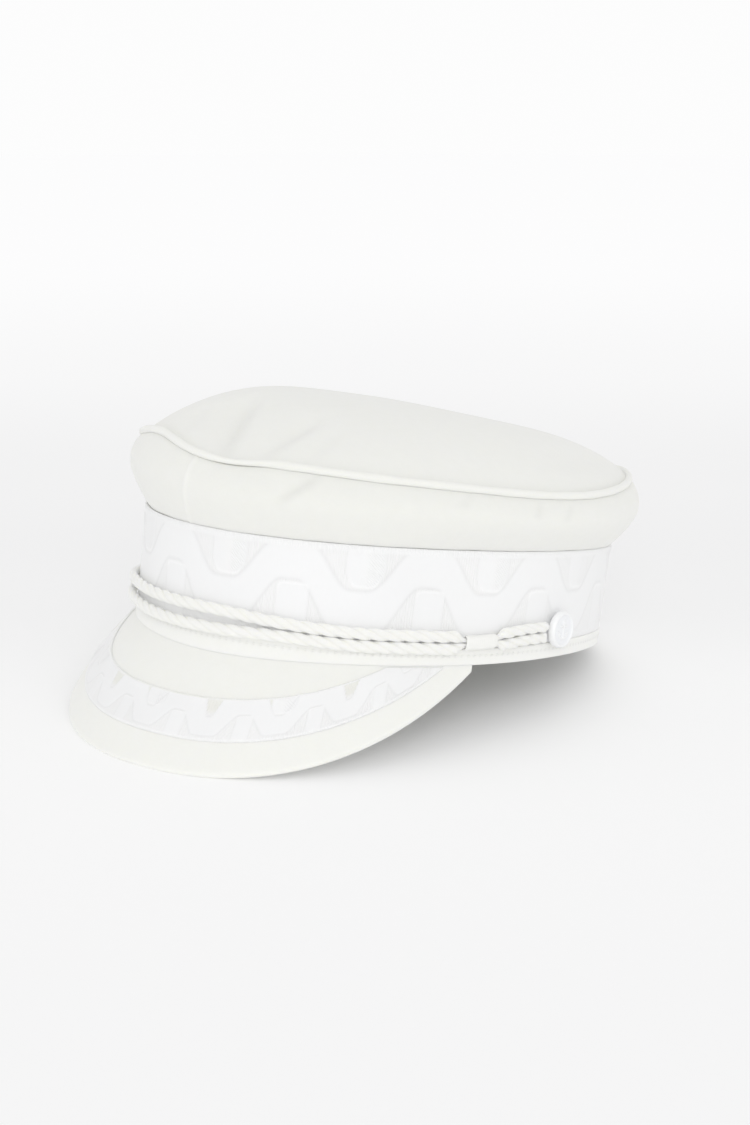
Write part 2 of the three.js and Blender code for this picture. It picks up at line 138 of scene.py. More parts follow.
def gridFaces(rows, columns, loopRows, loopColumns):
    # quads between neighbouring rows and columns, and each corner's (row, column) before wrapping
    rowStarts, columnStarts = np.arange(rows - (not loopRows)), np.arange(columns - (not loopColumns))
    r, c = [starts.ravel() for starts in np.meshgrid(rowStarts, columnStarts, indexing="ij")]
    cornerRow = np.stack([r, r, r + 1, r + 1], -1)
    cornerColumn = np.stack([c, c + 1, c + 1, c], -1)
    return (cornerRow % rows) * columns + cornerColumn % columns, cornerRow, cornerColumn


def flippedIn(points, faces):
    # True where the closed mesh's volume comes out negative
    volume = 0
    for block in faces:
        a = points[block[:, 0]]
        for i in range(1, block.shape[1] - 1):
            volume += np.einsum("ij,ij", a, np.cross(points[block[:, i]], points[block[:, i + 1]]))
    return volume < 0


def makePiece(name, points, faces, material, uv=None, marks=None, sharp=50, flat=False):
    # the settled points as a mesh with its faces outwards, a UV map and named values at its points;
    # a flat one is pressed level where it would go below the table
    points = settled(points.reshape(-1, 3))
    if flat:
        points[:, 2] = np.maximum(points[:, 2], 0)
    if flippedIn(points, faces):
        faces = [block[:, ::-1] for block in faces]
        uv = uv and [block[:, ::-1] for block in uv]
    mesh = bpy.data.meshes.new(name)
    mesh.from_pydata(points.tolist(), [], [face for block in faces for face in block.tolist()])
    if uv:
        layer = mesh.uv_layers.new(name="UVMap")
        layer.data.foreach_set("uv", np.concatenate([block.reshape(-1) for block in uv]).astype(np.float32))
    for key, values in (marks or {}).items():
        attribute = mesh.attributes.new(key, "FLOAT", "POINT")
        attribute.data.foreach_set("value", np.asarray(values, np.float32).ravel())
    mesh.polygons.foreach_set("use_smooth", [True] * len(mesh.polygons))
    mesh.set_sharp_from_angle(angle=math.radians(sharp))
    mesh.materials.append(material)
    piece = bpy.data.objects.new(name, mesh)
    bpy.context.scene.collection.objects.link(piece)
    return piece


def gridPiece(name, grid, material, loopRows=False, loopColumns=False, tips=None, uv=None, marks=None,
              sharp=50, flat=False):
    # a closed mesh from a grid of points; open ends are closed by a tip each, or paired across
    rows, columns = grid.shape[:2]
    quads, cornerRow, cornerColumn = gridFaces(rows, columns, loopRows, loopColumns)
    faces = [quads]
    corners = [(cornerRow, cornerColumn)]
    points = grid.reshape(-1, 3)
    marks = {key: np.broadcast_to(value, (rows, columns)).ravel() for key, value in (marks or {}).items()}
    if tips is not None:
        here = np.arange(columns)
        after = (here + 1) % columns
        last = (rows - 1) * columns
        count = rows * columns
        points = np.vstack([points, tips])
        faces.append(np.stack([np.full(columns, count), after, here], -1))
        faces.append(np.stack([np.full(columns, count + 1), last + here, last + after], -1))
        corners.append((np.zeros((columns, 3), int), np.stack([here, here + 1, here], -1)))
        corners.append((np.full((columns, 3), rows - 1), np.stack([here, here, here + 1], -1)))
        marks = {key: np.r_[value, 0, 0] for key, value in marks.items()}
    elif loopRows and not loopColumns:
        i = np.arange(rows // 2 - 1)
        pairs = np.stack([i, i + 1, rows - 2 - i, rows - 1 - i], -1)
        faces += [pairs * columns, (pairs * columns + columns - 1)[:, ::-1]]
        corners += [(pairs, pairs * 0), (pairs[:, ::-1], pairs * 0 + columns - 1)]
    if uv is not None:
        along, up = uv
        uv = [np.stack([along[column], up[row]], -1) for row, column in corners]
    return makePiece(name, points, faces, material, uv, marks, sharp, flat)


def dress(piece, slot, *nodes):
    # the piece stands for these solids and rides on the cap's one body; slot is not used
    if nodes:
        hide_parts(*nodes)
    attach(piece, "root")
    print("made", piece.name, len(piece.data.polygons), "faces")
    return piece


# Shader node groups and materials

def addNode(tree, kind, inputs=None, **settings):
    # a node with its settings; each input is given another node's socket or a plain value
    node = tree.nodes.new(kind)
    for key, value in settings.items():
        setattr(node, key, value)
    for key, value in (inputs or {}).items():
        if isinstance(value, bpy.types.NodeSocket):
            tree.links.new(value, node.inputs[key])
        else:
            node.inputs[key].default_value = value
    return node


def calculate(tree, operation, first, second=0.0):
    # one sum, product or the like of two sockets or values
    return addNode(tree, "ShaderNodeMath", {0: first, 1: second}, operation=operation).outputs[0]


def newGroup(name, inputs, outputs):
    # an empty node group with named sockets, and the sockets that lead into and out of it
    tree = bpy.data.node_groups.new(name, "ShaderNodeTree")
    for key, (kind, value) in inputs.items():
        socket = tree.interface.new_socket(name=key, in_out="INPUT", socket_type=kind)
        if value is not None:
            socket.default_value = value
    for key, kind in outputs.items():
        tree.interface.new_socket(name=key, in_out="OUTPUT", socket_type=kind)
    return tree, tree.nodes.new("NodeGroupInput").outputs, tree.nodes.new("NodeGroupOutput").inputs


def fuzzGroup():
    # Fuzz: matted fibres of a size in metres; Height for bump and Mottle for tone, both about 0 to 1
    tree, given, result = newGroup(
        "Fuzz", {"Vector": ("NodeSocketVector", None), "Size": ("NodeSocketFloat", 0.001),
                 "Stretch": ("NodeSocketFloat", 3.0)},
        {"Height": "NodeSocketFloat", "Mottle": "NodeSocketFloat"})
    scale = calculate(tree, "DIVIDE", 1.0, given["Size"])
    wisps = calculate(tree, "DIVIDE", scale, given["Stretch"])
    nap = addNode(tree, "ShaderNodeTexNoise", {"Vector": given["Vector"], "Scale": scale, "Detail": 3.0,
                                               "Roughness": 0.6})
    squeezed = addNode(tree, "ShaderNodeCombineXYZ", {0: wisps, 1: scale, 2: scale})
    turned = addNode(tree, "ShaderNodeVectorRotate", {"Vector": given["Vector"], "Angle": 0.7},
                     rotation_type="AXIS_ANGLE")
    drawn = addNode(tree, "ShaderNodeVectorMath", {0: turned.outputs[0], 1: squeezed.outputs[0]},
                    operation="MULTIPLY")
    strands = addNode(tree, "ShaderNodeTexNoise", {"Vector": drawn.outputs[0], "Scale": 1.6, "Detail": 2.0,
                                                   "Distortion": 0.8})
    broad = addNode(tree, "ShaderNodeTexNoise", {"Vector": given["Vector"], "Scale": wisps, "Detail": 2.0})
    height = addNode(tree, "ShaderNodeMix", {"Factor": 0.45, "A": nap.outputs["Fac"],
                                             "B": strands.outputs["Fac"]}, data_type="FLOAT")
    mottle = addNode(tree, "ShaderNodeMix", {"Factor": 0.4, "A": broad.outputs["Fac"],
                                             "B": strands.outputs["Fac"]}, data_type="FLOAT")
    tree.links.new(height.outputs[0], result["Height"])
    tree.links.new(mottle.outputs[0], result["Mottle"])
    return tree


def tintGroup():
    # Tint: Ground to Face by Mask, darker where Mottle is low, and with painted shade: darker by the shade
    # depth where the shade mark is high, painted lighter (painted light) where that mark is below 0
    tree, given, result = newGroup(
        "Tint", {"Ground": ("NodeSocketColor", (0.8, 0.8, 0.8, 1)),
                 "Face": ("NodeSocketColor", (0.9, 0.9, 0.9, 1)),
                 "Mask": ("NodeSocketFloat", 1.0), "Mottle": ("NodeSocketFloat", 0.5),
                 "Mottling": ("NodeSocketFloat", 0.06), "Seam": ("NodeSocketFloat", 0.0),
                 "SeamDepth": ("NodeSocketFloat", 0.3)},
        {"Color": "NodeSocketColor"})
    blend = addNode(tree, "ShaderNodeMix", {"Factor": given["Mask"], "A": given["Ground"],
                                            "B": given["Face"]}, data_type="RGBA")
    swing = calculate(tree, "MULTIPLY", calculate(tree, "SUBTRACT", given["Mottle"], 0.5), given["Mottling"])
    # painted shade: the mark times its depth, taken off the tone
    shaded = calculate(tree, "MULTIPLY", given["Seam"], given["SeamDepth"])
    level = calculate(tree, "SUBTRACT", calculate(tree, "ADD", swing, 1.0), shaded)
    shade = addNode(tree, "ShaderNodeVectorMath", {0: blend.outputs["Result"], "Scale": level},
                    operation="SCALE")
    tree.links.new(shade.outputs[0], result["Color"])
    return tree


def ribsGroup():
    # Ribs: sine ridges along a coordinate, of a pitch, weighted by Mask
    tree, given, result = newGroup(
        "Ribs", {"Along": ("NodeSocketFloat", 0.0), "Pitch": ("NodeSocketFloat", 1.0),
                 "Mask": ("NodeSocketFloat", 1.0)}, {"Height": "NodeSocketFloat"})
    turns = calculate(tree, "DIVIDE", given["Along"], given["Pitch"])
    wave = calculate(tree, "SINE", calculate(tree, "MULTIPLY", turns, 2 * math.pi))
    tree.links.new(calculate(tree, "MULTIPLY", wave, given["Mask"]), result["Height"])
    return tree


fuzz, tint, ribs = fuzzGroup(), tintGroup(), ribsGroup()


def useGroup(tree, group, **inputs):
    # a node group placed in a material with its own values
    return addNode(tree, "ShaderNodeGroup", inputs, node_tree=group)


def newMaterial(name, **surface):
    # a material whose shader has these fixed values
    material = bpy.data.materials.new(name)
    material.use_nodes = True
    tree = material.node_tree
    shader = tree.nodes["Principled BSDF"]
    for key, value in surface.items():
        shader.inputs[key].default_value = value
    return material, tree, shader


def mark(tree, name):
    # a named value at the mesh's points
    return addNode(tree, "ShaderNodeAttribute", attribute_name=name).outputs["Fac"]


def alongCloth(tree, stretch):
    # the UV map's two lengths in mm, and the same in metres with one of them drawn out
    place = addNode(tree, "ShaderNodeTexCoord").outputs["UV"]
    parts = addNode(tree, "ShaderNodeSeparateXYZ", {0: place}).outputs
    inMetres = addNode(tree, "ShaderNodeVectorMath", {0: place, 1: stretch}, operation="MULTIPLY")
    return parts[0], parts[1], inMetres.outputs[0]


def bumpInto(tree, shader, height, strength, distance):
    # the height as fine relief on the shader's normal
    bump = addNode(tree, "ShaderNodeBump", {"Height": height, "Strength": strength, "Distance": distance})
    tree.links.new(bump.outputs[0], shader.inputs["Normal"])


wool = {"face": (0.853, 0.856, 0.812, 1), "ground": (0.837, 0.841, 0.793, 1), "faceShare": 0.35,
        "fibre": 0.0009, "stretch": 4.0, "nap": 0.0002, "strength": 0.4, "mottling": 0.05, "paintedShadeStrength": 0.3}


def woolMaterial():
    # pale felt: matted fibres in tone and bump; its "seam" mark paints shade into the colour in seams, along
    # edges, in folds and lightly over the side panels, and paints light where it is below 0
    material, tree, shader = newMaterial("woolFelt", **{
        "Roughness": 0.95, "Specular IOR Level": 0.15, "Sheen Weight": 0.1, "Sheen Roughness": 0.6,
        "Sheen Tint": (1, 0.99, 0.96, 1), "Subsurface Weight": 0.8, "Subsurface Radius": (1, 1, 0.9),
        "Subsurface Scale": 0.001})
    place = addNode(tree, "ShaderNodeTexCoord").outputs["Object"]
    matted = useGroup(tree, fuzz, Vector=place, Size=wool["fibre"], Stretch=wool["stretch"])
    # painted shade and painted light by the "seam" mark: darker where it is above 0, lighter where it is
    # below
    colour = useGroup(tree, tint, Ground=wool["ground"], Face=wool["face"],
                      Mask=calculate(tree, "ADD", matted.outputs["Height"], wool["faceShare"]),
                      Mottle=matted.outputs["Mottle"], Mottling=wool["mottling"],
                      Seam=mark(tree, "seam"), SeamDepth=wool["paintedShadeStrength"])
    tree.links.new(colour.outputs[0], shader.inputs["Base Color"])
    bumpInto(tree, shader, matted.outputs["Height"], wool["strength"], wool["nap"])
    return material


satin = {"face": (0.901, 0.904, 0.908, 1), "ground": (0.897, 0.899, 0.899, 1),
         "cream": (0.835, 0.837, 0.785, 1), "ribPitch": 0.95, "hatchPitch": 1.15, "threadSize": 0.0004,
         "threadStretch": (0.001, 0.0004, 0.001), "threadShare": 0.5, "mottling": 0.04, "furrow": 0.05,
         "paintedLineDepth": 0.07, "groundRough": 0.85, "faceRough": 0.55, "strength": 0.8, "depth": 0.00007}


def ribbonMaterial():
    # white weave: smooth satin face, ribbed ground, slanting hatch and fine lines round the figures; painted
    # shade in the rib and hatch grooves, along the lines and under the crown, and painted highlight on the
    # ridges, the outlines' raised ends and the selvedges
    material, tree, shader = newMaterial("wovenRibbon", **{
        "Specular IOR Level": 0.35, "Sheen Weight": 0.08, "Sheen Roughness": 0.4, "Subsurface Weight": 0.8,
        "Subsurface Radius": (1, 1, 1), "Subsurface Scale": 0.0008})
    along, up, inMetres = alongCloth(tree, satin["threadStretch"])
    threads = useGroup(tree, fuzz, Vector=inMetres, Size=satin["threadSize"], Stretch=3.0)
    face = mark(tree, "satin")
    ribbed = useGroup(tree, ribs, Along=along, Pitch=satin["ribPitch"], Mask=mark(tree, "ribbed"))
    slant = calculate(tree, "ADD", along, up)
    hatched = useGroup(tree, ribs, Along=slant, Pitch=satin["hatchPitch"], Mask=mark(tree, "hatched"))
    ground = addNode(tree, "ShaderNodeMix", {"Factor": mark(tree, "cream"), "A": satin["ground"],
                                             "B": satin["cream"]}, data_type="RGBA")
    height = calculate(tree, "ADD", ribbed.outputs[0], hatched.outputs[0])
    # painted shade in the rib and hatch grooves, and painted highlight on their ridges
    paintedRibShade = calculate(tree, "MULTIPLY", calculate(tree, "SUBTRACT", 0.0, height), satin["furrow"])
    # the line mark paints shade along the figures and under the crown, and highlight where it is below 0
    colour = useGroup(tree, tint, Ground=ground.outputs["Result"], Face=satin["face"], Mask=face,
                      Mottle=threads.outputs["Mottle"], Mottling=satin["mottling"],
                      Seam=calculate(tree, "ADD", mark(tree, "line"), paintedRibShade), SeamDepth=satin["paintedLineDepth"])
    tree.links.new(colour.outputs[0], shader.inputs["Base Color"])
    rough = addNode(tree, "ShaderNodeMapRange", {"Value": face, "To Min": satin["groundRough"],
                                                 "To Max": satin["faceRough"]})
    tree.links.new(rough.outputs[0], shader.inputs["Roughness"])
    fine = calculate(tree, "MULTIPLY", threads.outputs["Height"], satin["threadShare"])
    bumpInto(tree, shader, calculate(tree, "ADD", height, fine), satin["strength"], satin["depth"])
    return material


rope = {"face": (0.896, 0.896, 0.859, 1), "ground": (0.869, 0.864, 0.816, 1), "threadPitch": 0.42,
        "threadSlant": 0.3, "threadShare": 0.5, "hair": 0.0005, "hairStretch": (0.0004, 0.001, 0.001),
        "mottling": 0.06, "strength": 0.6, "depth": 0.0001}


def cordMaterial(name, spread):
    # spread is how much light goes into the threads: much in thick strands, none in a thin bound sleeve
    material, tree, shader = newMaterial(name, **{
        "Roughness": 0.7, "Specular IOR Level": 0.3, "Sheen Weight": 0.12, "Sheen Roughness": 0.4,
        "Subsurface Weight": spread, "Subsurface Radius": (1, 1, 0.9), "Subsurface Scale": 0.0012})
    around, along, inMetres = alongCloth(tree, rope["hairStretch"])
    slant = calculate(tree, "ADD", along, calculate(tree, "MULTIPLY", around, rope["threadSlant"]))
    threads = useGroup(tree, ribs, Along=slant, Pitch=rope["threadPitch"], Mask=1.0)
    hairs = useGroup(tree, fuzz, Vector=inMetres, Size=rope["hair"], Stretch=3.0)
    # painted shade: by the "crown" mark the strands' grooves take the darker ground colour and their crowns
    # the face colour
    colour = useGroup(tree, tint, Ground=rope["ground"], Face=rope["face"], Mask=mark(tree, "crown"),
                      Mottle=hairs.outputs["Mottle"], Mottling=rope["mottling"], Seam=0.0, SeamDepth=0.0)
    tree.links.new(colour.outputs[0], shader.inputs["Base Color"])
    ridges = calculate(tree, "MULTIPLY", threads.outputs[0], rope["threadShare"])
    bumpInto(tree, shader, calculate(tree, "ADD", ridges, hairs.outputs["Height"]), rope["strength"],
             rope["depth"])
    return material


pearl = {"face": (0.917, 0.924, 0.932, 1), "ground": (0.875, 0.888, 0.912, 1), "size": 0.004,
         "mottling": 0.05, "roughLow": 0.22, "roughHigh": 0.4, "strength": 0.2, "depth": 0.0001}


def buttonMaterial():
    # clouded white with a thin gloss, painted lighter on whatever stands up from its face (painted highlight)
    material, tree, shader = newMaterial("pearlButton", **{
        "Specular IOR Level": 0.5, "Coat Weight": 0.3, "Coat Roughness": 0.2})
    place = addNode(tree, "ShaderNodeTexCoord").outputs["Object"]
    clouds = useGroup(tree, fuzz, Vector=place, Size=pearl["size"], Stretch=2.0)
    colour = useGroup(tree, tint, Ground=pearl["ground"], Face=pearl["face"], Mask=mark(tree, "crown"),
                      Mottle=clouds.outputs["Mottle"], Mottling=pearl["mottling"], Seam=0.0, SeamDepth=0.0)
    tree.links.new(colour.outputs[0], shader.inputs["Base Color"])
    rough = addNode(tree, "ShaderNodeMapRange", {"Value": clouds.outputs["Mottle"],
                                                 "To Min": pearl["roughLow"], "To Max": pearl["roughHigh"]})
    tree.links.new(rough.outputs[0], shader.inputs["Roughness"])
    bumpInto(tree, shader, clouds.outputs["Height"], pearl["strength"], pearl["depth"])
    return material


woolFelt, wovenRibbon, pearlButton = woolMaterial(), ribbonMaterial(), buttonMaterial()
twistedCord, boundCord = cordMaterial("twistedCord", 1.0), cordMaterial("boundCord", 0.0)
print("materials made")


# Crown

band = {"height": 41.1, "topWave": -1.2, "bottomWave": -0.95, "bottomLift": 1.9, "liftAngle": 108,
        "liftWidth": 32, "face": -0.9, "lump": 0.15, "lumpSize": 8.0, "columns": 300, "rows": 12}
piping = {"radius": 1.5, "uneven": 0.08, "unevenSize": 3.0, "pinch": 0.35, "pinchAngle": 9, "pinchWidth": 7,
          "pinchDrop": 0.9, "sink": 0.25, "columns": 560, "sides": 18}
rim = {"angle": [-180, -135, -90, -50, -20, 0, 20, 50, 90, 135, 180],
       "rise": [28.0, 26.3, 24.2, 24.9, 29.1, 24.4, 24.3, 23.4, 22.7, 28.8, 28.0],
       "reach": [1.1, 3.0, 5.2, 4.4, 2.0, 3.2, 2.2, 3.3, 5.6, 2.9, 1.1]}
dome = {"height": 88, "fallBack": 0.054, "fallSide": 0.044, "edgePower": 2.83, "backPower": 2.84,
        "reachPower": 12, "seat": 0.6, "sewnIn": 0.15, "turn": 1.0, "turnWidth": 0.9, "valley": 0.8,
        "valleyWidth": 3.2, "deeper": 0.4, "deeperAngle": 78, "deeperSpan": 26, "shallower": 0.85,
        "shallowerAngle": 122, "shallowerSpan": 24, "lump": 0.35, "lumpSize": 13, "lumpFrom": 12,
        "seamShade": 0.5, "seamShadeWidth": 1.3, "foldShade": 0.2, "rows": 70, "columns": 480,
        "crowding": 1.6, "innerRows": 16, "innerReach": 0.99}
# creases in the top: from and to places, depth, widths of its left and right slopes, depth of its fold
creases = [
    {"from": (8, -106), "to": (-15, -66), "depth": 4.8, "left": 11, "right": 4.5, "fold": 1.2},
    {"from": (21, -103), "to": (20, -70), "depth": 2.8, "left": 8, "right": 4.5, "fold": 0.9},
    {"from": (37, -94), "to": (33, -74), "depth": 1.0, "left": 6, "right": 4, "fold": 0.4},
    {"from": (-16, -97), "to": (-26, -80), "depth": 2.0, "left": 6, "right": 6, "fold": 0.3},
    {"from": (76, -4), "to": (66, 50), "depth": 2.5, "left": 7, "right": 7, "fold": 0.0},
]
# the crease's fold: a sharp line, and a soft bank a little to one side of it
foldShape = {"line": 0.6, "lineRound": 0.5, "lineWidth": 1.6, "bank": 0.4, "bankAside": 2.0, "bankWidth": 2.6}
side = {"foot": 0.2, "tuck": 1.2, "tuckAngle": -50, "tuckWidth": 32, "bulge": 5.2, "sideBulge": 1,
        "rightBulge": 0.8, "lean": 1.2, "fullness": 0.85, "footGap": 0.1, "footGapAngle": 52,
        "footGapWidth": 38, "topGap": 0.05, "seamTop": 0.8, "seamLean": 2.8, "seamSpan": 60,
        "levelShare": 0.25, "overChord": 1.1, "turn": 0.5, "turnWidth": 0.8, "footTurn": 0.45,
        "footTurnWidth": 0.9, "lap": 0.55, "under": 0.35, "underWidth": 1.3, "ridge": 0.55,
        "backRidge": 0.4, "ridgeWidth": 0.9, "lump": 0.3, "lumpSize": 9, "rows": 48, "columns": 320,
        "crowding": 0.6}
# the gathers under the rim and over the band: depth, reach from the edge, wave's size and its wander's
gathers = {"top": 0.22, "topReach": 7, "topSize": 1.9, "topWander": 7.1, "wander": 1.3, "swell": 0.4,
           "swellSize": 23, "foot": 0.11, "footReach": 5, "footSize": 2.7, "footWander": 9}
# painted shade on the side panels: a little all over, in the folds, under the rim and over the band; ridge is
# how much lighter the front seam's ridge is painted (painted highlight)
sideShade = {"all": 0.09, "top": 0.3, "topWidth": 0.7, "foot": 0.35, "footWidth": 0.6, "fold": 0.3,
             "ridge": 0.18}
# folds in the crown's sides: angle and share of the height from and to, depth and half width in mm
sideFolds = [
    {"from": (30, 0.98), "to": (23, 0.55), "depth": 0.8, "width": 1.9},
    {"from": (77, 0.95), "to": (75, 0.66), "depth": 0.5, "width": 1.6},
    {"from": (85, 0.93), "to": (83, 0.62), "depth": 0.5, "width": 1.6},
    {"from": (61, 0.97), "to": (58, 0.75), "depth": 0.35, "width": 1.8},
    {"from": (-40, 0.96), "to": (-46, 0.7), "depth": 0.7, "width": 2.2},
    {"from": (-118, 0.95), "to": (-112, 0.65), "depth": 0.6, "width": 2.2},
    {"from": (148, 0.96), "to": (142, 0.66), "depth": 0.6, "width": 2.2},
]


def bandTop(angle):
    # the upper edge waves twice in a round: height + wave cos(2 angle)
    return band["height"] + band["topWave"] * np.cos(2 * np.radians(angle))


def bandBottom(angle):
    # the lower edge waves a little and rises over the ears
    lift = band["bottomLift"] * near(np.abs(apart(angle, 0)), band["liftAngle"], band["liftWidth"])
    return band["bottomWave"] * np.cos(2 * np.radians(angle)) + lift


def pinched(angle):
    # 1 where the front of the rim is drawn in, 0 away from it
    return near(apart(angle, piping["pinchAngle"]), 0, piping["pinchWidth"])


def rimPoint(angle, out, up):
    # the rim runs at a height above the band and a reach beyond it, both read from its table
    at = apart(angle, 0)
    reach = readTable(rim, "reach", at) + out
    height = band["height"] + readTable(rim, "rise", at) + up
    return oval(angle, reach, height - piping["pinchDrop"] * pinched(angle))


def creaseDepth(x, y):
    # soft hollow: depth * exp(-(across / slope width)^2 - middle^4), and a fold along its bottom
    hollow, fold = 0, 0
    for crease in creases:
        (x0, y0), (x1, y1) = crease["from"], crease["to"]
        length = math.hypot(x1 - x0, y1 - y0)
        along = ((x - x0) * (x1 - x0) + (y - y0) * (y1 - y0)) / length
        across = ((x - x0) * (y1 - y0) - (y - y0) * (x1 - x0)) / length
        middle = np.exp(-(2 * along / length - 1) ** 4)
        width = np.where(across > 0, crease["right"], crease["left"])
        hollow = hollow + crease["depth"] * middle * np.exp(-(across / width) ** 2)
        line = np.exp(-np.hypot(across, foldShape["lineRound"]) / foldShape["lineWidth"])
        bank = near(across, foldShape["bankAside"], foldShape["bankWidth"])
        fold = fold + crease["fold"] * middle * (foldShape["line"] * line + foldShape["bank"] * bank)
    return hollow, fold


def domePoint(angle, share):
    # the rim drawn in by share; its height rises to the middle's by 1 - share^power, less the creases
    edge = rimPoint(angle, dome["sewnIn"] - piping["radius"], dome["seat"])
    x, y = edge[..., 0] * share, edge[..., 1] * share
    power = dome["edgePower"] + dome["backPower"] * (1 - np.cos(np.radians(angle))) / 2
    keep = share ** power
    middle = dome["height"] - dome["fallBack"] * y - dome["fallSide"] * x
    deep = sum(creaseDepth(x, y)) * (1 - share ** dome["reachPower"])
    return spot(x, y, edge[..., 2] * keep + middle * (1 - keep) - deep)


def crownTop():
    # outside: the dome with lumps, turned down into the seam beside the piping; inside: one cloth lower
    angle = np.linspace(-180, 180, dome["columns"], endpoint=False)[None, :]
    step = np.linspace(0, 1, dome["rows"] + 1)[1:, None]
    share = 1 - (1 - step) ** dome["crowding"]
    outer = domePoint(angle, share)
    fromRim = (1 - share) * np.hypot(outer[-1, :, 0], outer[-1, :, 1])
    depth = 1 + dome["deeper"] * near(apart(angle, dome["deeperAngle"]), 0, dome["deeperSpan"])
    depth = depth - dome["shallower"] * near(apart(angle, dome["shallowerAngle"]), 0, dome["shallowerSpan"])
    turn = dome["turn"] * depth * np.exp(-fromRim / dome["turnWidth"])
    valley = dome["valley"] * depth * np.exp(-fromRim / dome["valleyWidth"])
    uneven = dome["lump"] * lumps(outer[..., 0], outer[..., 1], dome["lumpSize"])
    # painted shade: darker next to the piping and along the creases' folds
    paintedShadeMark = dome["seamShade"] * np.exp(-fromRim / dome["seamShadeWidth"])
    paintedShadeMark = paintedShadeMark + dome["foldShade"] * creaseDepth(outer[..., 0], outer[..., 1])[1]
    outer[..., 2] += uneven * soft(fromRim / dome["lumpFrom"]) - turn - valley
    innerShare = 1 - np.linspace(0, 1, dome["innerRows"] + 1)[:-1, None] * dome["innerReach"]
    inner = domePoint(angle, innerShare)
    inner[..., 2] -= cloth["thick"] + turn[-1] + valley[-1]
    middle = domePoint(np.zeros(1), np.zeros(1))
    under = middle - (0, 0, cloth["thick"] + dome["turn"])
    marks = {"seam": np.concatenate([paintedShadeMark, np.zeros(inner.shape[:2])])}
    piece = gridPiece("crown_top_felt", np.concatenate([outer, inner]), woolFelt, loopColumns=True,
                      tips=np.vstack([middle, under]), marks=marks)
    return dress(piece, "wool", "crown_top")


def leaned(angle, v):
    # the front seam leans towards the wearer's right as it goes down, and the cloth beside it goes along
    shift = side["seamTop"] + side["seamLean"] * (1 - v) ** 2
    return angle - shift * np.maximum(0, 1 - np.abs(angle) / side["seamSpan"])


def sidePlain(angle, v):
    # from the band (v = 0) the side swells out by sin(pi v^lean)^fullness and comes back to the rim (v = 1)
    tucked = near(angle, side["tuckAngle"], side["tuckWidth"])
    lift = side["footGap"] * near(angle, side["footGapAngle"], side["footGapWidth"])
    foot = oval(angle, side["foot"] - side["tuck"] * tucked, bandTop(angle) + lift)
    top = rimPoint(angle, cloth["thick"] / 2, -piping["radius"] - side["topGap"])
    swell = side["bulge"] + side["sideBulge"] * np.sin(np.radians(angle)) + side["rightBulge"] * tucked
    swell = swell * np.sin(np.pi * np.clip(v, 0, 1) ** side["lean"]) ** side["fullness"]
    share = np.broadcast_to(v, foot.shape[:-1])[..., None]
    return foot + (top - foot) * share + outward(angle) * swell[..., None]


def sideFoldDepth(angle, v):
    # each fold is a bell across its line, exp(-(across / width)^2), fading out at both ends
    mmPerDegree, mmPerShare = 1.62, 25
    total = 0
    for fold in sideFolds:
        (a0, v0), (a1, v1) = fold["from"], fold["to"]
        spanX, spanY = (a1 - a0) * mmPerDegree, (v1 - v0) * mmPerShare
        length = math.hypot(spanX, spanY)
        x, y = apart(angle, a0) * mmPerDegree, (v - v0) * mmPerShare
        along = (x * spanX + y * spanY) / length
        across = (x * spanY - y * spanX) / length
        fading = np.exp(-(2 * along / length - 1) ** 4)
        total = total + fold["depth"] * near(across, 0, fold["width"]) * fading
    return total


def gathered(arc, fromTop, fromFoot):
    # wandering waves along both sewn edges, sin(arc / size + wander sin(arc / wander's size)), dying away
    wave = np.sin(arc / gathers["topSize"] + gathers["wander"] * np.sin(arc / gathers["topWander"]))
    swell = 1 - gathers["swell"] + gathers["swell"] * np.sin(arc / gathers["swellSize"] + 1)
    footWave = np.sin(arc / gathers["footSize"] + np.sin(arc / gathers["footWander"]))
    return (gathers["top"] * wave * swell * np.exp(-fromTop / gathers["topReach"])
            + gathers["foot"] * footWave * np.exp(-fromFoot / gathers["footReach"]))


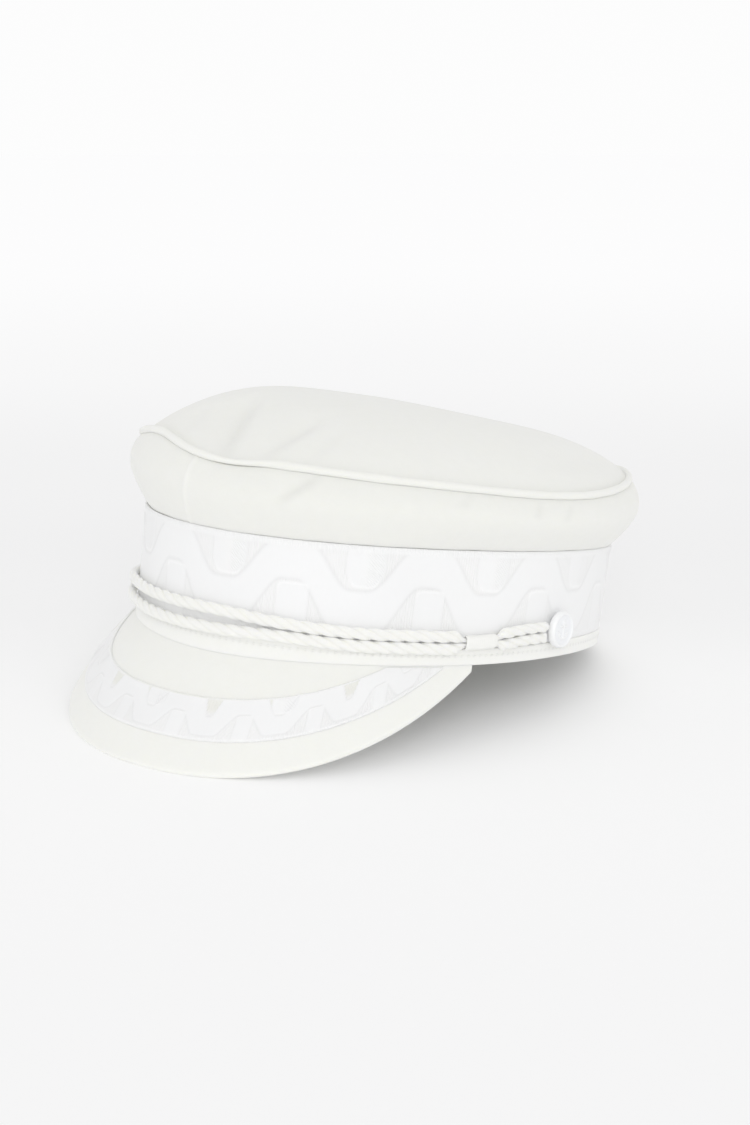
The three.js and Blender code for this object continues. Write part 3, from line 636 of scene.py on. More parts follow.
def crownSide(name, start, end, under):
    # two walls of cloth, the outer one moved square to itself by the details' sum; at the front and back
    # seams the left panel's edge runs a little past the right one's, which is sunk by so much
    plan = np.linspace(start, end, side["columns"])[None, :]
    step = np.linspace(0, 1, side["rows"])[:, None]
    v = side["crowding"] * soft(step) + (1 - side["crowding"]) * step
    angle = leaned(plan, v)
    plain = sidePlain(angle, v)
    out = outward(angle)
    tall = np.linalg.norm(plain[-1] - plain[0], axis=-1)[None, :] * side["overChord"]
    fromTop, fromFoot = (1 - v) * tall, v * tall
    arc = arcFromFront(plan)
    # square to the swelling cloth, but level towards its two sewn edges
    up = np.gradient(plain, axis=0)
    square = unit(np.cross(np.cross(np.array([0, 0, 1.0]), out), up))
    inside = np.minimum(1, np.minimum(v, 1 - v) / side["levelShare"])[..., None]
    square = unit(out * (1 - inside) + square * inside)
    # details in mm towards the outside: turned edges, gathers, folds, lumps and the raised seams
    folds = sideFoldDepth(plan, v)
    fromSeam = np.minimum(np.abs(arc), arcFromFront(180.0) - np.abs(arc))
    inFront = soft((90 - np.abs(plan)) / 30)
    seamRidge = near(fromSeam, 0, side["ridgeWidth"])
    level = gathered(arc, fromTop, fromFoot) - folds + side["lump"] * lumps(arc, fromFoot, side["lumpSize"])
    level = level - side["turn"] * np.exp(-fromTop / side["turnWidth"])
    level = level - side["footTurn"] * np.exp(-fromFoot / side["footTurnWidth"])
    level = level + side["ridge"] * seamRidge * (side["backRidge"] + (1 - side["backRidge"]) * inFront)
    level = level - under * near(fromSeam, 0, side["underWidth"])
    # painted shade all over the panel, in its folds, under the rim and over the band, and a painted highlight
    # on the front seam's ridge
    paintedShadeMark = sideShade["all"] + sideShade["fold"] * folds - sideShade["ridge"] * seamRidge * inFront
    paintedShadeMark = paintedShadeMark + sideShade["top"] * np.exp(-fromTop / sideShade["topWidth"])
    paintedShadeMark = paintedShadeMark + sideShade["foot"] * np.exp(-fromFoot / sideShade["footWidth"])
    outer = plain + square * level[..., None]
    inner = plain - square * cloth["thick"]
    marks = {"seam": np.concatenate([paintedShadeMark, np.zeros(paintedShadeMark.shape)])}
    piece = gridPiece(f"{name}_felt", np.concatenate([outer, inner[::-1]]), woolFelt, loopRows=True,
                      marks=marks)
    return dress(piece, "wool", name)


def crownPiping():
    # a round roll along the rim whose radius varies a little and is pinched at the front
    angle = np.linspace(-180, 180, piping["columns"], endpoint=False)[None, :]
    turn = np.linspace(0, 2 * np.pi, piping["sides"], endpoint=False)[:, None]
    arc = arcFromFront(angle)
    radius = piping["radius"] * (1 - piping["pinch"] * pinched(angle))
    radius = radius * (1 + piping["uneven"] * lumps(arc, arc * 0.3, piping["unevenSize"]))
    grid = rimPoint(angle, radius * np.cos(turn), radius * np.sin(turn) - piping["sink"])
    piece = gridPiece("crown_piping_felt", grid, woolFelt, loopRows=True, loopColumns=True)
    return dress(piece, "wool", "crown_piping")


crownTop()
crownSide("crown_side_left", -side["lap"], 180 + side["lap"], 0.0)
crownSide("crown_side_right", -180, 0, side["under"])
crownPiping()


# Band and welt

welt = {"height": 5.4, "face": 0.5, "rounding": 0.3, "closing": 0.35, "uneven": 0.12, "unevenSize": 5.0,
        "flare": 1.25, "flareDrop": 1.9, "flareAngle": 5, "flareWidth": 34, "flareHeight": 3.0,
        "light": 0.25, "columns": 1400, "rows": 13, "clearOfCorner": 0.8}
weltStitch = {"pitch": 2.6, "length": 1.7, "radius": 0.2, "height": 3.3, "sunk": 0.12, "sides": 6, "rings": 5,
              "dent": 0.1, "dentPhase": 0.22, "dentWidth": 0.7, "furrow": 0.08, "furrowWidth": 1.2,
              "furrowShade": 0.06, "furrowShadeWidth": 0.6, "hole": 0.4, "holeShade": 0.7}


def roundedSection(corners, radius, steps=4):
    # a closed outline of corners, each replaced by a quarter turn of the given radius
    corners = np.array(corners, float)
    points = []
    for before, here, after in zip(np.roll(corners, 1, 0), corners, np.roll(corners, -1, 0)):
        back, on = unit(before - here), unit(after - here)
        for t in np.linspace(0, math.pi / 2, steps):
            points.append(here + back * radius * (1 - math.sin(t)) + on * radius * (1 - math.cos(t)))
    return np.array(points)


def bandWall():
    # plain felt wall between the two heights, a little uneven inside
    angle = np.linspace(-180, 180, band["columns"], endpoint=False)[None, :]
    low, high = bandBottom(angle), bandTop(angle) - cloth["gap"]
    share = np.linspace(0, 1, band["rows"])[:, None]
    outer = oval(angle, band["face"] + 0 * share, low + (high - low) * share)
    uneven = band["lump"] * lumps(arcFromFront(angle), band["height"] * share, band["lumpSize"])
    inner = oval(angle, band["face"] - cloth["thick"] + uneven, low + (high - low) * share)
    piece = gridPiece("band_felt", np.concatenate([outer, inner[::-1]]), woolFelt, loopRows=True,
                      loopColumns=True, flat=True)
    return dress(piece, "wool", "band")


def weltSection():
    # rounded strip outside the band: its outline as (out, height) pairs, with rows up its face for the
    # stitches' dents between the two outer corners; it reaches up to the ribbon
    inner, face, top = band["face"] + cloth["gap"], welt["face"], welt["height"] + welt["closing"]
    outline = roundedSection([(inner, 0), (face, 0), (face, top), (inner, top)], welt["rounding"])
    heights = np.linspace(welt["clearOfCorner"], top - welt["clearOfCorner"], welt["rows"])
    extra = np.array([(face, z) for z in heights])
    half = len(outline) // 2
    return np.vstack([outline[:half], extra, outline[half:]])


def bandWelt():
    # strip with a row of small dents where the stitches pull it in; painted shade makes a dark spot for each
    # needle hole between them and a faint line along the row, and painted light makes the whole strip lighter
    angle = np.linspace(-180, 180, welt["columns"], endpoint=False)[None, :]
    outline = weltSection()
    out, height = outline[:, :1], outline[:, 1:]
    arc = arcFromFront(angle)
    phase = (arc / weltStitch["pitch"]) % 1
    fromRow = height - weltStitch["height"]
    pull = near(phase, 0.5, weltStitch["dentPhase"]) * near(fromRow, 0, weltStitch["dentWidth"])
    furrow = near(fromRow, 0, weltStitch["furrowWidth"])
    flare = near(apart(angle, welt["flareAngle"]), 0, welt["flareWidth"])
    flare = flare * soft(1 - height / welt["flareHeight"])
    level = welt["uneven"] * lumps(arc, height, welt["unevenSize"]) + welt["flare"] * flare
    level = level - weltStitch["dent"] * pull - weltStitch["furrow"] * furrow
    # painted shade: a dark spot at each needle hole and a faint line along the stitch row
    fromHole = np.hypot(np.minimum(phase, 1 - phase) * weltStitch["pitch"], fromRow)
    shade = weltStitch["holeShade"] * near(fromHole, 0, weltStitch["hole"])
    shade = shade + weltStitch["furrowShade"] * near(fromRow, 0, weltStitch["furrowShadeWidth"])
    outside = soft(out - band["face"])
    height = bandBottom(angle) + height - outside * welt["flareDrop"] * flare
    # painted light: the welt's light value makes the whole strip lighter
    piece = gridPiece("band_welt_felt", oval(angle, out + outside * level, height), woolFelt, loopRows=True,
                      loopColumns=True, flat=True, marks={"seam": outside * shade - welt["light"]})
    return dress(piece, "wool", "band_welt")


def weltStitches():
    # short threads, each a tube through rings of points that bends out by sin(pi t) and dips in at its ends
    fine = np.linspace(-180, 180, 3601)
    run = arcFromFront(fine)
    length = run[-1] - run[0]
    count = int(length // weltStitch["pitch"])
    rings, sides = weltStitch["rings"], weltStitch["sides"]
    middle = (np.arange(count) + 0.5) * length / count
    t = np.linspace(0, 1, rings)[None, :]
    angle = np.interp(middle[:, None] + (t - 0.5) * weltStitch["length"] + run[0], run, fine)
    out, up = outward(angle), np.array([0, 0, 1.0])
    point = oval(angle, welt["face"] - weltStitch["sunk"], bandBottom(angle) + weltStitch["height"])
    bend = np.sin(np.pi * t)
    centre = point + out * (weltStitch["radius"] * (1.6 * bend - 1.1))[..., None]
    radius = (weltStitch["radius"] * (0.35 + 0.65 * bend))[..., None, None]
    turn = np.linspace(0, 2 * np.pi, sides, endpoint=False)[:, None]
    ring = centre[:, :, None, :] + radius * (out[:, :, None, :] * np.cos(turn) + up * np.sin(turn))
    start = np.arange(count)[:, None, None] * rings * sides
    quads = (gridFaces(rings, sides, False, True)[0] + start).reshape(-1, 4)
    ends = np.arange(sides)
    caps = (np.stack([ends[::-1], (rings - 1) * sides + ends]) + start).reshape(-1, sides)
    uv = [np.zeros((*faces.shape, 2)) for faces in (quads, caps)]
    piece = makePiece("welt_stitches", ring, [quads, caps], boundCord, uv=uv,
                      marks={"crown": np.ones(count * rings * sides)})
    return dress(piece, "cord")


bandWall()
bandWelt()
weltStitches()


# Woven ribbon: a broad satin wave between satin tongues, on a ribbed ground, with thick ribbed edges

# the design in mm, as on the band: hollows are where the wave leaves room above (high) or below (low)
design = {"period": 47.3, "height": 35.3, "selvedge": 2.2, "selvedgeSoft": 0.5, "highFlat": 3.0,
          "highRun": 15.5, "highFloor": 19.5, "highTop": 35.2, "lowFlat": 2.5, "lowRun": 15.0,
          "lowRoof": 21.6, "lowFoot": 3.8, "steeper": 0.9, "tongueShift": 1.4, "tongueTop": 6.5,
          "tongueEnd": 3.9, "tongueWiden": 7, "tongueGap": 1.1, "lowTongue": 5.3, "corner": 0.9, "edge": 0.5,
          "line": 0.62, "tongueLine": 0.4, "tongueLineIn": -0.3, "tongueLineShare": 0.5, "outline": 0.5,
          "outlineIn": 0.1, "outlineReach": 3.5, "outlineSpan": 9, "paintedOutlineHighlight": 1.6, "paintedEdgeHighlight": 0.4,
          "hatchAcross": 1.5, "hatchIn": 0.8}
relief = {"ground": -0.06, "outline": 0.12, "selvedge": 0.12, "line": -0.1, "satinRound": 0.06,
          "roundOver": 2}
ribbon = {"bottom": 5.8, "face": 0.1, "proud": 0.15, "selvedgeFace": 0.5, "trough": 12.0, "topGap": 0.05,
          "rounding": 0.4, "roundingWidth": 0.25, "sag": 0.25, "sagSize": 11.0, "sagFrom": 4, "shade": 1.4,
          "shadeWidth": 1.1, "shadeAngle": 45, "shadeSpan": 35, "columns": 1060, "rows": 66}


def roundedMin(a, b, radius):
    # smooth smaller of two distances: -r ln(e^(-a / r) + e^(-b / r))
    return -radius * np.log(np.exp(-a / radius) + np.exp(-b / radius))


def weave(along, up, hollow=1.0, tongue=1.0, notch=0.0):
    # the design at a place: its marks and its relief. Distances to the wave's edges and to the tongues'
    # outlines are positive inside them, and lines run along both. Two factors make the high hollows and
    # their tongues narrower or wider; with a notch, each second hollow is that much narrower and bare
    period = design["period"]
    bare = notch * (np.floor(along / period + 0.5) % 2)
    fromHigh = ((along + period / 2) % period - period / 2) * (1 + bare)
    fromLow = along % period - period / 2
    rise = soft((np.abs(fromHigh) - design["highFlat"] * hollow) / (design["highRun"] * hollow))
    fall = soft((np.abs(fromLow) - design["lowFlat"]) / design["lowRun"])
    highEdge = design["highFloor"] + (design["highTop"] - design["highFloor"]) * rise
    lowEdge = design["lowRoof"] + (design["lowFoot"] - design["lowRoof"]) * fall
    highSteep, lowSteep = [1 + design["steeper"] * np.sin(np.pi * way) for way in (rise, fall)]
    inWave = np.minimum((highEdge - up) / highSteep, (up - lowEdge) / lowSteep)
    widen = soft((up - design["highFloor"]) / design["tongueWiden"])
    half = (design["tongueEnd"] + (design["tongueTop"] - design["tongueEnd"]) * widen) * tongue
    half = np.where(bare > 0, -period, half)
    across = fromHigh - design["tongueShift"]
    aboveFloor = up - design["highFloor"] - design["tongueGap"]
    belowRoof = design["lowRoof"] - design["tongueGap"] - up
    highTongue = roundedMin(half - np.abs(across), aboveFloor, design["corner"])
    lowTongue = roundedMin(design["lowTongue"] - np.abs(fromLow - design["tongueShift"]), belowRoof,
                           design["corner"])
    inTongue = np.maximum(highTongue, lowTongue)
    inside = np.maximum(inWave, inTongue)
    satinMark = soft(inside / design["edge"] + 0.5)
    intoEdge = np.maximum(design["selvedge"] - up, up - design["height"] + design["selvedge"])
    inEdge = soft(intoEdge / design["selvedgeSoft"] + 0.5)
    # raised outlines round the tongues' ends, painted lighter there (painted highlight), and painted shade in
    # thin lines along the rest; the selvedges are painted lighter (painted highlight)
    highEnd = near(highTongue, design["outlineIn"], design["outline"])
    highEnd = highEnd * near(up, design["highFloor"], design["outlineReach"])
    lowEnd = near(lowTongue, design["outlineIn"], design["outline"])
    lowEnd = lowEnd * near(up, design["lowRoof"], design["outlineReach"])
    atEnd = (np.abs(fromHigh) < design["outlineSpan"]) * highEnd + lowEnd
    line = near(inWave, 0, design["line"])
    line = line + design["tongueLineShare"] * near(inTongue, design["tongueLineIn"], design["tongueLine"])
    line = np.clip(line - design["paintedOutlineHighlight"] * atEnd, -0.8, 1)
    line = line * (1 - inEdge) - design["paintedEdgeHighlight"] * inEdge
    hatched = soft(across / design["hatchAcross"]) * soft(highTongue / design["hatchIn"]) * (1 - inEdge)
    level = relief["ground"] * (1 - satinMark) + relief["satinRound"] * soft(inside / relief["roundOver"])
    level = level + relief["line"] * np.clip(line, 0, 1) + relief["outline"] * atEnd
    level = level * (1 - inEdge) + relief["selvedge"] * inEdge
    return {"satin": np.clip(satinMark + inEdge, 0, 1), "ribbed": np.maximum(1 - satinMark, inEdge),
            "hatched": hatched, "line": line, "cream": (1 - satinMark) * (1 - inEdge)}, level


def bandRibbon():
    # the design laid round the band a whole number of times; the relief lifts it outwards
    angle = np.linspace(-180, 180, ribbon["columns"], endpoint=False)[None, :]
    share = np.linspace(0, 1, ribbon["rows"])[:, None]
    low = bandBottom(angle) + ribbon["bottom"]
    tall = bandTop(angle) - ribbon["topGap"] - low
    arc = arcFromFront(angle)
    whole = arcFromFront(180.0) * 2
    repeats = round(whole / design["period"])
    along = (arc - ribbon["trough"]) * repeats * design["period"] / whole
    up = share * design["height"]
    marks, level = weave(along, up)
    del marks["cream"]
    edge = np.minimum(share, 1 - share) * design["height"]
    rounding = -ribbon["rounding"] * np.exp(-edge / ribbon["roundingWidth"])
    # painted shadow of the crown's overhang along the ribbon's top, stronger towards the wearer's left front
    paintedCrownShadow = ribbon["shade"] * np.exp((up - design["height"]) / ribbon["shadeWidth"])
    marks["line"] = marks["line"] + paintedCrownShadow * (
        0.5 + 0.5 * near(angle, ribbon["shadeAngle"], ribbon["shadeSpan"]))
    sag = ribbon["sag"] * lumps(arc, up, ribbon["sagSize"]) * soft(edge / ribbon["sagFrom"])
    outer = oval(angle, ribbon["face"] + ribbon["proud"] + level + rounding + sag, low + tall * share)
    inner = oval(angle, band["face"] + cloth["gap"], low + tall * np.array([[1.0], [0.0]]))
    marks = {key: np.concatenate([value, np.zeros((2, angle.shape[1]))]) for key, value in marks.items()}
    uvAlong = np.r_[arc[0], arc[0, 0] + whole]
    uvUp = np.r_[up[:, 0], design["height"], 0, 0]
    piece = gridPiece("band_ribbon_woven", np.concatenate([outer, inner]), wovenRibbon, loopRows=True,
                      loopColumns=True, uv=(uvAlong, uvUp), marks=marks)
    return dress(piece, "ribbon", "band_ribbon")


bandRibbon()


# Visor and its trim

visor = {"halfAngle": 69.4, "length": 48.7, "power": 2.58, "fan": 0.92, "slopeIn": 47.6, "slopeOut": 65.2,
         "slopeSide": 1.3, "thick": 2.6, "corner": 0.985, "lump": 0.16, "lumpSize": 7.0, "lumpAcross": 70,
         "lumpOut": 45, "lumpFrom": 4, "seamRise": 0.6, "seamRun": 1.0, "seamShade": 0.1,
         "seamShadeWidth": 0.8, "light": 0.1, "columns": 260, "rows": 40, "edgeRows": 6}
trim = {"outer": 12.2, "inner": 28.3, "thick": 0.6, "endAngle": 0.885, "seamEdge": 0.8, "period": 24.5,
        "trough": 0.6, "relief": 0.9, "hollow": 0.66, "tongue": 1.3, "notch": 0.7, "creamFrom": 20,
        "creamOver": 6, "bareAt": 0.08, "bareWidth": 0.42, "bareSatin": 0.8, "rounding": 0.6,
        "roundingWidth": 0.35, "lump": 0.15, "lumpSize": 5.0, "lumpFrom": 2, "ruffle": 0.35,
        "ruffleSize": 2.1, "ruffleReach": 1.8, "ruffleWidth": 0.75, "seat": 0.03, "lie": 0.2,
        "columns": 520, "rows": 46}


def visorReach(across):
    # how far the visor reaches from its seam: length (1 - |side|^power)
    return visor["length"] * (1 - np.abs(across) ** visor["power"])


def visorPoint(across, distance, lift):
    # from the seam the surface runs out and down along an arc whose slope grows from slopeIn to slopeOut
    angle = visor["halfAngle"] * across
    t = np.radians(angle)
    seam = oval(angle, 0 * t, bandBottom(angle) - cloth["gap"])
    heading = unit(spot(visor["fan"] * np.sin(t), -1, 0))
    start = np.radians(visor["slopeIn"] + visor["slopeSide"] * np.sin(t) ** 2)
    turn = math.radians(visor["slopeOut"] - visor["slopeIn"]) / visor["length"]
    end = start + turn * distance
    run = (np.sin(end) - np.sin(start)) / turn + np.sin(end) * lift
    fall = (np.cos(start) - np.cos(end)) / turn - np.cos(end) * lift
    return seam + heading * run[..., None] + spot(0, 0, -fall)


def visorPlate():
    # upper face, half-round edge and lower face, as one closed section for each place along the seam
    across = np.linspace(-visor["corner"], visor["corner"], visor["columns"])[None, :]
    length = visorReach(across)
    edge = np.minimum(visor["thick"] / 2, length / 2)
    share = np.linspace(0, 1, visor["rows"])[:, None]
    turn = np.linspace(0, np.pi, visor["edgeRows"] + 2)[1:-1, None]
    flatRun = length - edge
    out = share * flatRun
    distance = np.concatenate([out, flatRun + edge * np.sin(turn), (1 - share) * flatRun])
    uneven = lumps(across * visor["lumpAcross"], share * visor["lumpOut"], visor["lumpSize"])
    topLift = visor["lump"] * uneven * soft(out / visor["lumpFrom"])
    topLift = topLift + visor["seamRise"] * near(out, 0, visor["seamRun"])
    edgeLift = np.broadcast_to(visor["thick"] / 2 * (np.cos(turn) - 1), (visor["edgeRows"], visor["columns"]))
    lift = np.concatenate([topLift, edgeLift, np.full(out.shape, -visor["thick"])])
    # painted light over the whole peak, and painted shade along its seam under the welt
    paintedShadeMark = np.full(distance.shape, -visor["light"])
    paintedShadeMark[:visor["rows"]] += visor["seamShade"] * np.exp(-out / visor["seamShadeWidth"])
    piece = gridPiece("visor_felt", visorPoint(across, distance, lift), woolFelt, loopRows=True, flat=True,
                      marks={"seam": paintedShadeMark})
    return dress(piece, "wool", "visor")


def trimLines(across):
    # distances from the seam to the trim's inner and outer edge, kept apart where it runs out at the ends
    length = visorReach(across)
    outer = length - trim["outer"]
    inner = np.minimum(np.maximum(length - trim["inner"], trim["seamEdge"]), outer - trim["seamEdge"])
    return inner, outer


def trimArc(across):
    # mm along the trim's middle line from the front
    outer = trimLines(across)[1]
    middle = np.maximum(outer - (trim["inner"] - trim["outer"]) / 2, trim["seamEdge"])
    steps = np.linalg.norm(np.diff(visorPoint(across, middle, 0 * across), axis=1), axis=-1)
    run = np.concatenate([np.zeros((1, 1)), np.cumsum(steps, axis=1)], axis=1)
    return run - np.interp(0, across[0], run[0])


def visorTrim():
    # the same design at about half the size, laid along the visor; it is cut off where it meets the band
    across = np.linspace(-trim["endAngle"], trim["endAngle"], trim["columns"])[None, :]
    inner, outer = trimLines(across)
    arc = trimArc(across)
    share = np.linspace(0, 1, trim["rows"])[:, None]
    distance = inner + (outer - inner) * share
    wide = trim["inner"] - trim["outer"]
    up = (outer - distance) * design["height"] / wide
    along = (arc - trim["trough"]) * design["period"] / trim["period"]
    marks, level = weave(along, up, trim["hollow"], trim["tongue"], trim["notch"])
    # the ground shows as felt in the notches and along the inner edge in front
    innerEdge = soft((up - design["height"] + design["selvedge"]) / design["selvedgeSoft"] + 0.5)
    bareEdge = innerEdge * near(across, trim["bareAt"], trim["bareWidth"])
    notches = marks["cream"] * soft((up - trim["creamFrom"]) / trim["creamOver"])
    marks["cream"] = np.maximum(notches, bareEdge)
    marks["satin"] = marks["satin"] * (1 - trim["bareSatin"] * bareEdge)
    fromEdge = np.minimum(share, 1 - share) * (outer - inner)
    uneven = lumps(arc, distance, trim["lumpSize"]) * soft(fromEdge / trim["lumpFrom"])
    ruffle = 0.6 + 0.4 * np.sin(arc / trim["ruffleSize"])
    ruffle = ruffle * np.exp(-(distance - inner) / trim["ruffleReach"]) * near(across, 0, trim["ruffleWidth"])
    lift = trim["lie"] + trim["thick"] + level * trim["relief"] + trim["lump"] * uneven
    lift = lift - trim["rounding"] * np.exp(-fromEdge / trim["roundingWidth"])
    lift = lift + trim["ruffle"] * ruffle
    top = visorPoint(across, distance, lift)
    under = visorPoint(across, distance[::-1], np.full(distance.shape, trim["seat"]))
    marks = {key: np.concatenate([value, np.zeros(distance.shape)]) for key, value in marks.items()}
    upLine = np.linspace(wide, 0, trim["rows"])
    piece = gridPiece("visor_trim_woven", np.concatenate([top, under]), wovenRibbon, loopRows=True,
                      uv=(arc[0], np.r_[upLine, upLine[::-1], upLine[:1]]), marks=marks)
    return dress(piece, "ribbon", "visor_trim")


visorPlate()
visorTrim()


# Cords, slides and buttons

cord = {"radius": 2.2, "flat": 0.75, "thinner": 0.15, "thinnerOver": 8, "apart": 0.05, "pinched": 0.85,
        "endAngle": 86.6, "stepAngle": 3.7, "taper": 2.4, "plies": 3, "lay": 17.0, "shape": 0.36,
        "upperTurn": 0.9, "crownFrom": 0.72, "crownOver": 0.15, "columns": 760, "sides": 36}
cordRun = {"angle": [-90, -85, -80, -75, -69, -62, -54, -31, -10,
                     10, 23, 31, 42, 54, 62, 69, 75, 80, 85, 90],
           "upper": [14.7, 14.6, 14.1, 12.9, 12.0, 11.7, 12.0, 12.9, 12.4,
                     12.4, 11.5, 11.0, 10.75, 11.25, 11.45, 12.0, 12.9, 14.1, 14.6, 14.7],
           "lower": [10.6, 10.5, 10.0, 8.8, 7.5, 7.3, 7.2, 6.5, 5.5,
                     5.9, 6.7, 6.65, 6.4, 6.9, 7.1, 7.5, 8.8, 10.0, 10.5, 10.6]}
slide = {"angle": 68.6, "halfLength": 6.6, "halfHeight": 2.7, "halfDepth": 1.75, "wall": 0.5,
         "rounding": 0.45, "wrap": 0.05, "wrapPitch": 1.1, "sides": 40, "rings": 26}
slideHalfAngle = math.degrees(slide["halfLength"] / head["halfLength"])


def squeeze(angle, reach, over):
    # how tightly the slides draw the cords in: 1 up to so many degrees beyond a slide, then falling to 0
    return 1 - soft((np.abs(np.abs(angle) - slide["angle"]) - slideHalfAngle - reach) / over)


def cordRadius(angle):
    # thin inside a slide, and full again soon after it
    free = cord["radius"] - cord["thinner"] * soft((np.abs(angle) - slide["angle"]) / cord["thinnerOver"])
    return free + (cord["pinched"] - free) * squeeze(angle, 0, cord["taper"])


def cordMiddle(angle, which):
    # how far out and how high: free cords follow their table on the ribbon's face, and a slide draws them
    # together and out to its own middle
    tight = squeeze(angle, cord["stepAngle"], cord["stepAngle"])
    upper, lower = readTable(cordRun, "upper", angle), readTable(cordRun, "lower", angle)
    radius = cordRadius(angle)
    half = (upper - lower) / 2 * (1 - tight) + (radius + cord["apart"]) * tight
    z = (upper + lower) / 2 + (half if which == "upper" else -half)
    ribbonFace = ribbon["selvedgeFace"] + cloth["gap"]
    clear, inSlide = ribbonFace + radius * cord["flat"], ribbonFace + slide["halfDepth"]
    return clear + (inSlide - clear) * squeeze(angle, 0, cord["taper"]), z


def twistedRun(which):
    # three strands wound round each other: the outline at a turn is the nearest strand's circle
    angle = np.linspace(-cord["endAngle"], cord["endAngle"], cord["columns"])[:, None]
    turn = np.linspace(0, 2 * np.pi, cord["sides"], endpoint=False)[None, :]
    radius = cordRadius(angle)
    arc = arcFromFront(angle)
    wind = 2 * np.pi * arc / cord["lay"] + (cord["upperTurn"] if which == "upper" else 0)
    sector = 2 * np.pi / cord["plies"]
    fromStrand = (turn + wind + sector / 2) % sector - sector / 2
    strandAt = radius * cord["shape"]
    strand = radius - strandAt
    reach = strandAt * np.cos(fromStrand) + np.sqrt(strand**2 - (strandAt * np.sin(fromStrand)) ** 2)
    out, z = cordMiddle(angle, which)
    grid = oval(angle, out + cord["flat"] * reach * np.cos(turn), z + reach * np.sin(turn))
    ends = oval(angle[[0, -1], 0], out[[0, -1], 0], z[[0, -1], 0])
    # painted shade: 1 on the strands' crowns, falling to 0 in the grooves, where the ground colour is darker
    crownMark = soft((reach / radius - cord["crownFrom"]) / cord["crownOver"])
    uvTurn = np.linspace(0, 2 * np.pi * cord["radius"], cord["sides"] + 1)
    piece = gridPiece(f"cord_{which}_twisted", grid, twistedCord, loopColumns=True, tips=ends,
                      uv=(uvTurn, np.r_[arc[:, 0], arc[-1, 0]]), marks={"crown": crownMark}, sharp=75)
    return dress(piece, "cord", f"cord_{which}")


def cordSlide(name, sign):
    # a round-ended sleeve round both cords, its two ends rounded over into the opening
    t = np.linspace(-1, 1, slide["rings"])[:, None]
    angle = sign * slide["angle"] + t * slideHalfAngle
    turn = np.linspace(0, 2 * np.pi, slide["sides"], endpoint=False)[None, :]
    out, upper = cordMiddle(angle, "upper")
    z = (upper + cordMiddle(angle, "lower")[1]) / 2

    def outline(inset):
        # two half circles joined by flat sides
        deep, tall = slide["halfDepth"] - inset, slide["halfHeight"] - inset
        rise = np.clip(np.sin(turn) * 3, -1, 1) * (tall - deep)
        return oval(angle, out + deep * np.cos(turn), z + rise + deep * np.sin(turn))

    fromEnd = (1 - np.abs(t)) * slide["halfLength"]
    wrap = slide["wrap"] * np.cos(t * slide["halfLength"] * 2 * np.pi / slide["wrapPitch"])
    outside = outline(slide["rounding"] * np.exp(-fromEnd / slide["rounding"]) - wrap)
    inside = outline(np.full(t.shape, slide["wall"]))
    arc = arcFromFront(angle)[:, 0]
    uvTurn = np.linspace(0, 2 * np.pi * slide["halfDepth"], slide["sides"] + 1)
    piece = gridPiece(f"{name}_sleeve", np.concatenate([outside, inside[::-1]]), boundCord, loopRows=True,
                      loopColumns=True, uv=(uvTurn, np.r_[arc, arc[::-1], arc[:1]] * 0.5),
                      marks={"crown": 1.0})
    return dress(piece, "cord", name)


button = {"angle": 91, "height": 13.6, "radius": 7, "back": 1.3, "face": 4.4, "rim": 1.3, "sink": 0.7,
          "shank": 1.8, "soft": 0.5, "axis": 0.02, "relief": 0.5, "bevel": 0.16, "rimShade": 0.4,
          "rings": 70, "sides": 150}
anchor = {"half": 0.42, "low": 3.3, "ringHeight": 2.8, "ringRadius": 0.68, "stockHalf": 1.7,
          "stockHeight": 1.3, "armHeight": -0.2, "armRadius": 3.1, "armSweep": 66, "armEnd": 3,
          "fluke": 0.95}


def barDistance(x, y, ax, ay, bx, by):
    # distance to a straight stroke from a to b
    length = (bx - ax) ** 2 + (by - ay) ** 2
    t = np.clip(((x - ax) * (bx - ax) + (y - ay) * (by - ay)) / length, 0, 1)
    return np.hypot(x - ax - t * (bx - ax), y - ay - t * (by - ay))


def anchorHeight(x, y):
    # strokes of one width: shank, stock, ring, arms on an arc, and a short barb at each arm's end
    stockEnd, stockAt, armAt = anchor["stockHalf"], anchor["stockHeight"], anchor["armHeight"]
    shank = barDistance(x, y, 0, -anchor["low"], 0, anchor["ringHeight"] - anchor["ringRadius"])
    stock = barDistance(x, y, -stockEnd, stockAt, stockEnd, stockAt)
    ring = np.abs(np.hypot(x, y - anchor["ringHeight"]) - anchor["ringRadius"])
    aroundArms = np.degrees(np.arctan2(x, armAt - y))
    arms = np.abs(np.hypot(x, y - armAt) - anchor["armRadius"])
    arms = arms + 10 * soft((np.abs(aroundArms) - anchor["armSweep"]) / anchor["armEnd"])
    t = math.radians(anchor["armSweep"])
    endX, endY = anchor["armRadius"] * math.sin(t), armAt - anchor["armRadius"] * math.cos(t)
    barb = barDistance(np.abs(x), y, endX - anchor["fluke"], endY - 0.1, endX + 0.2, endY + 0.5)
    stroke = np.minimum.reduce([shank, stock, ring, arms, barb])
    return soft((anchor["half"] - stroke) / button["bevel"] * 0.5 + 0.5)


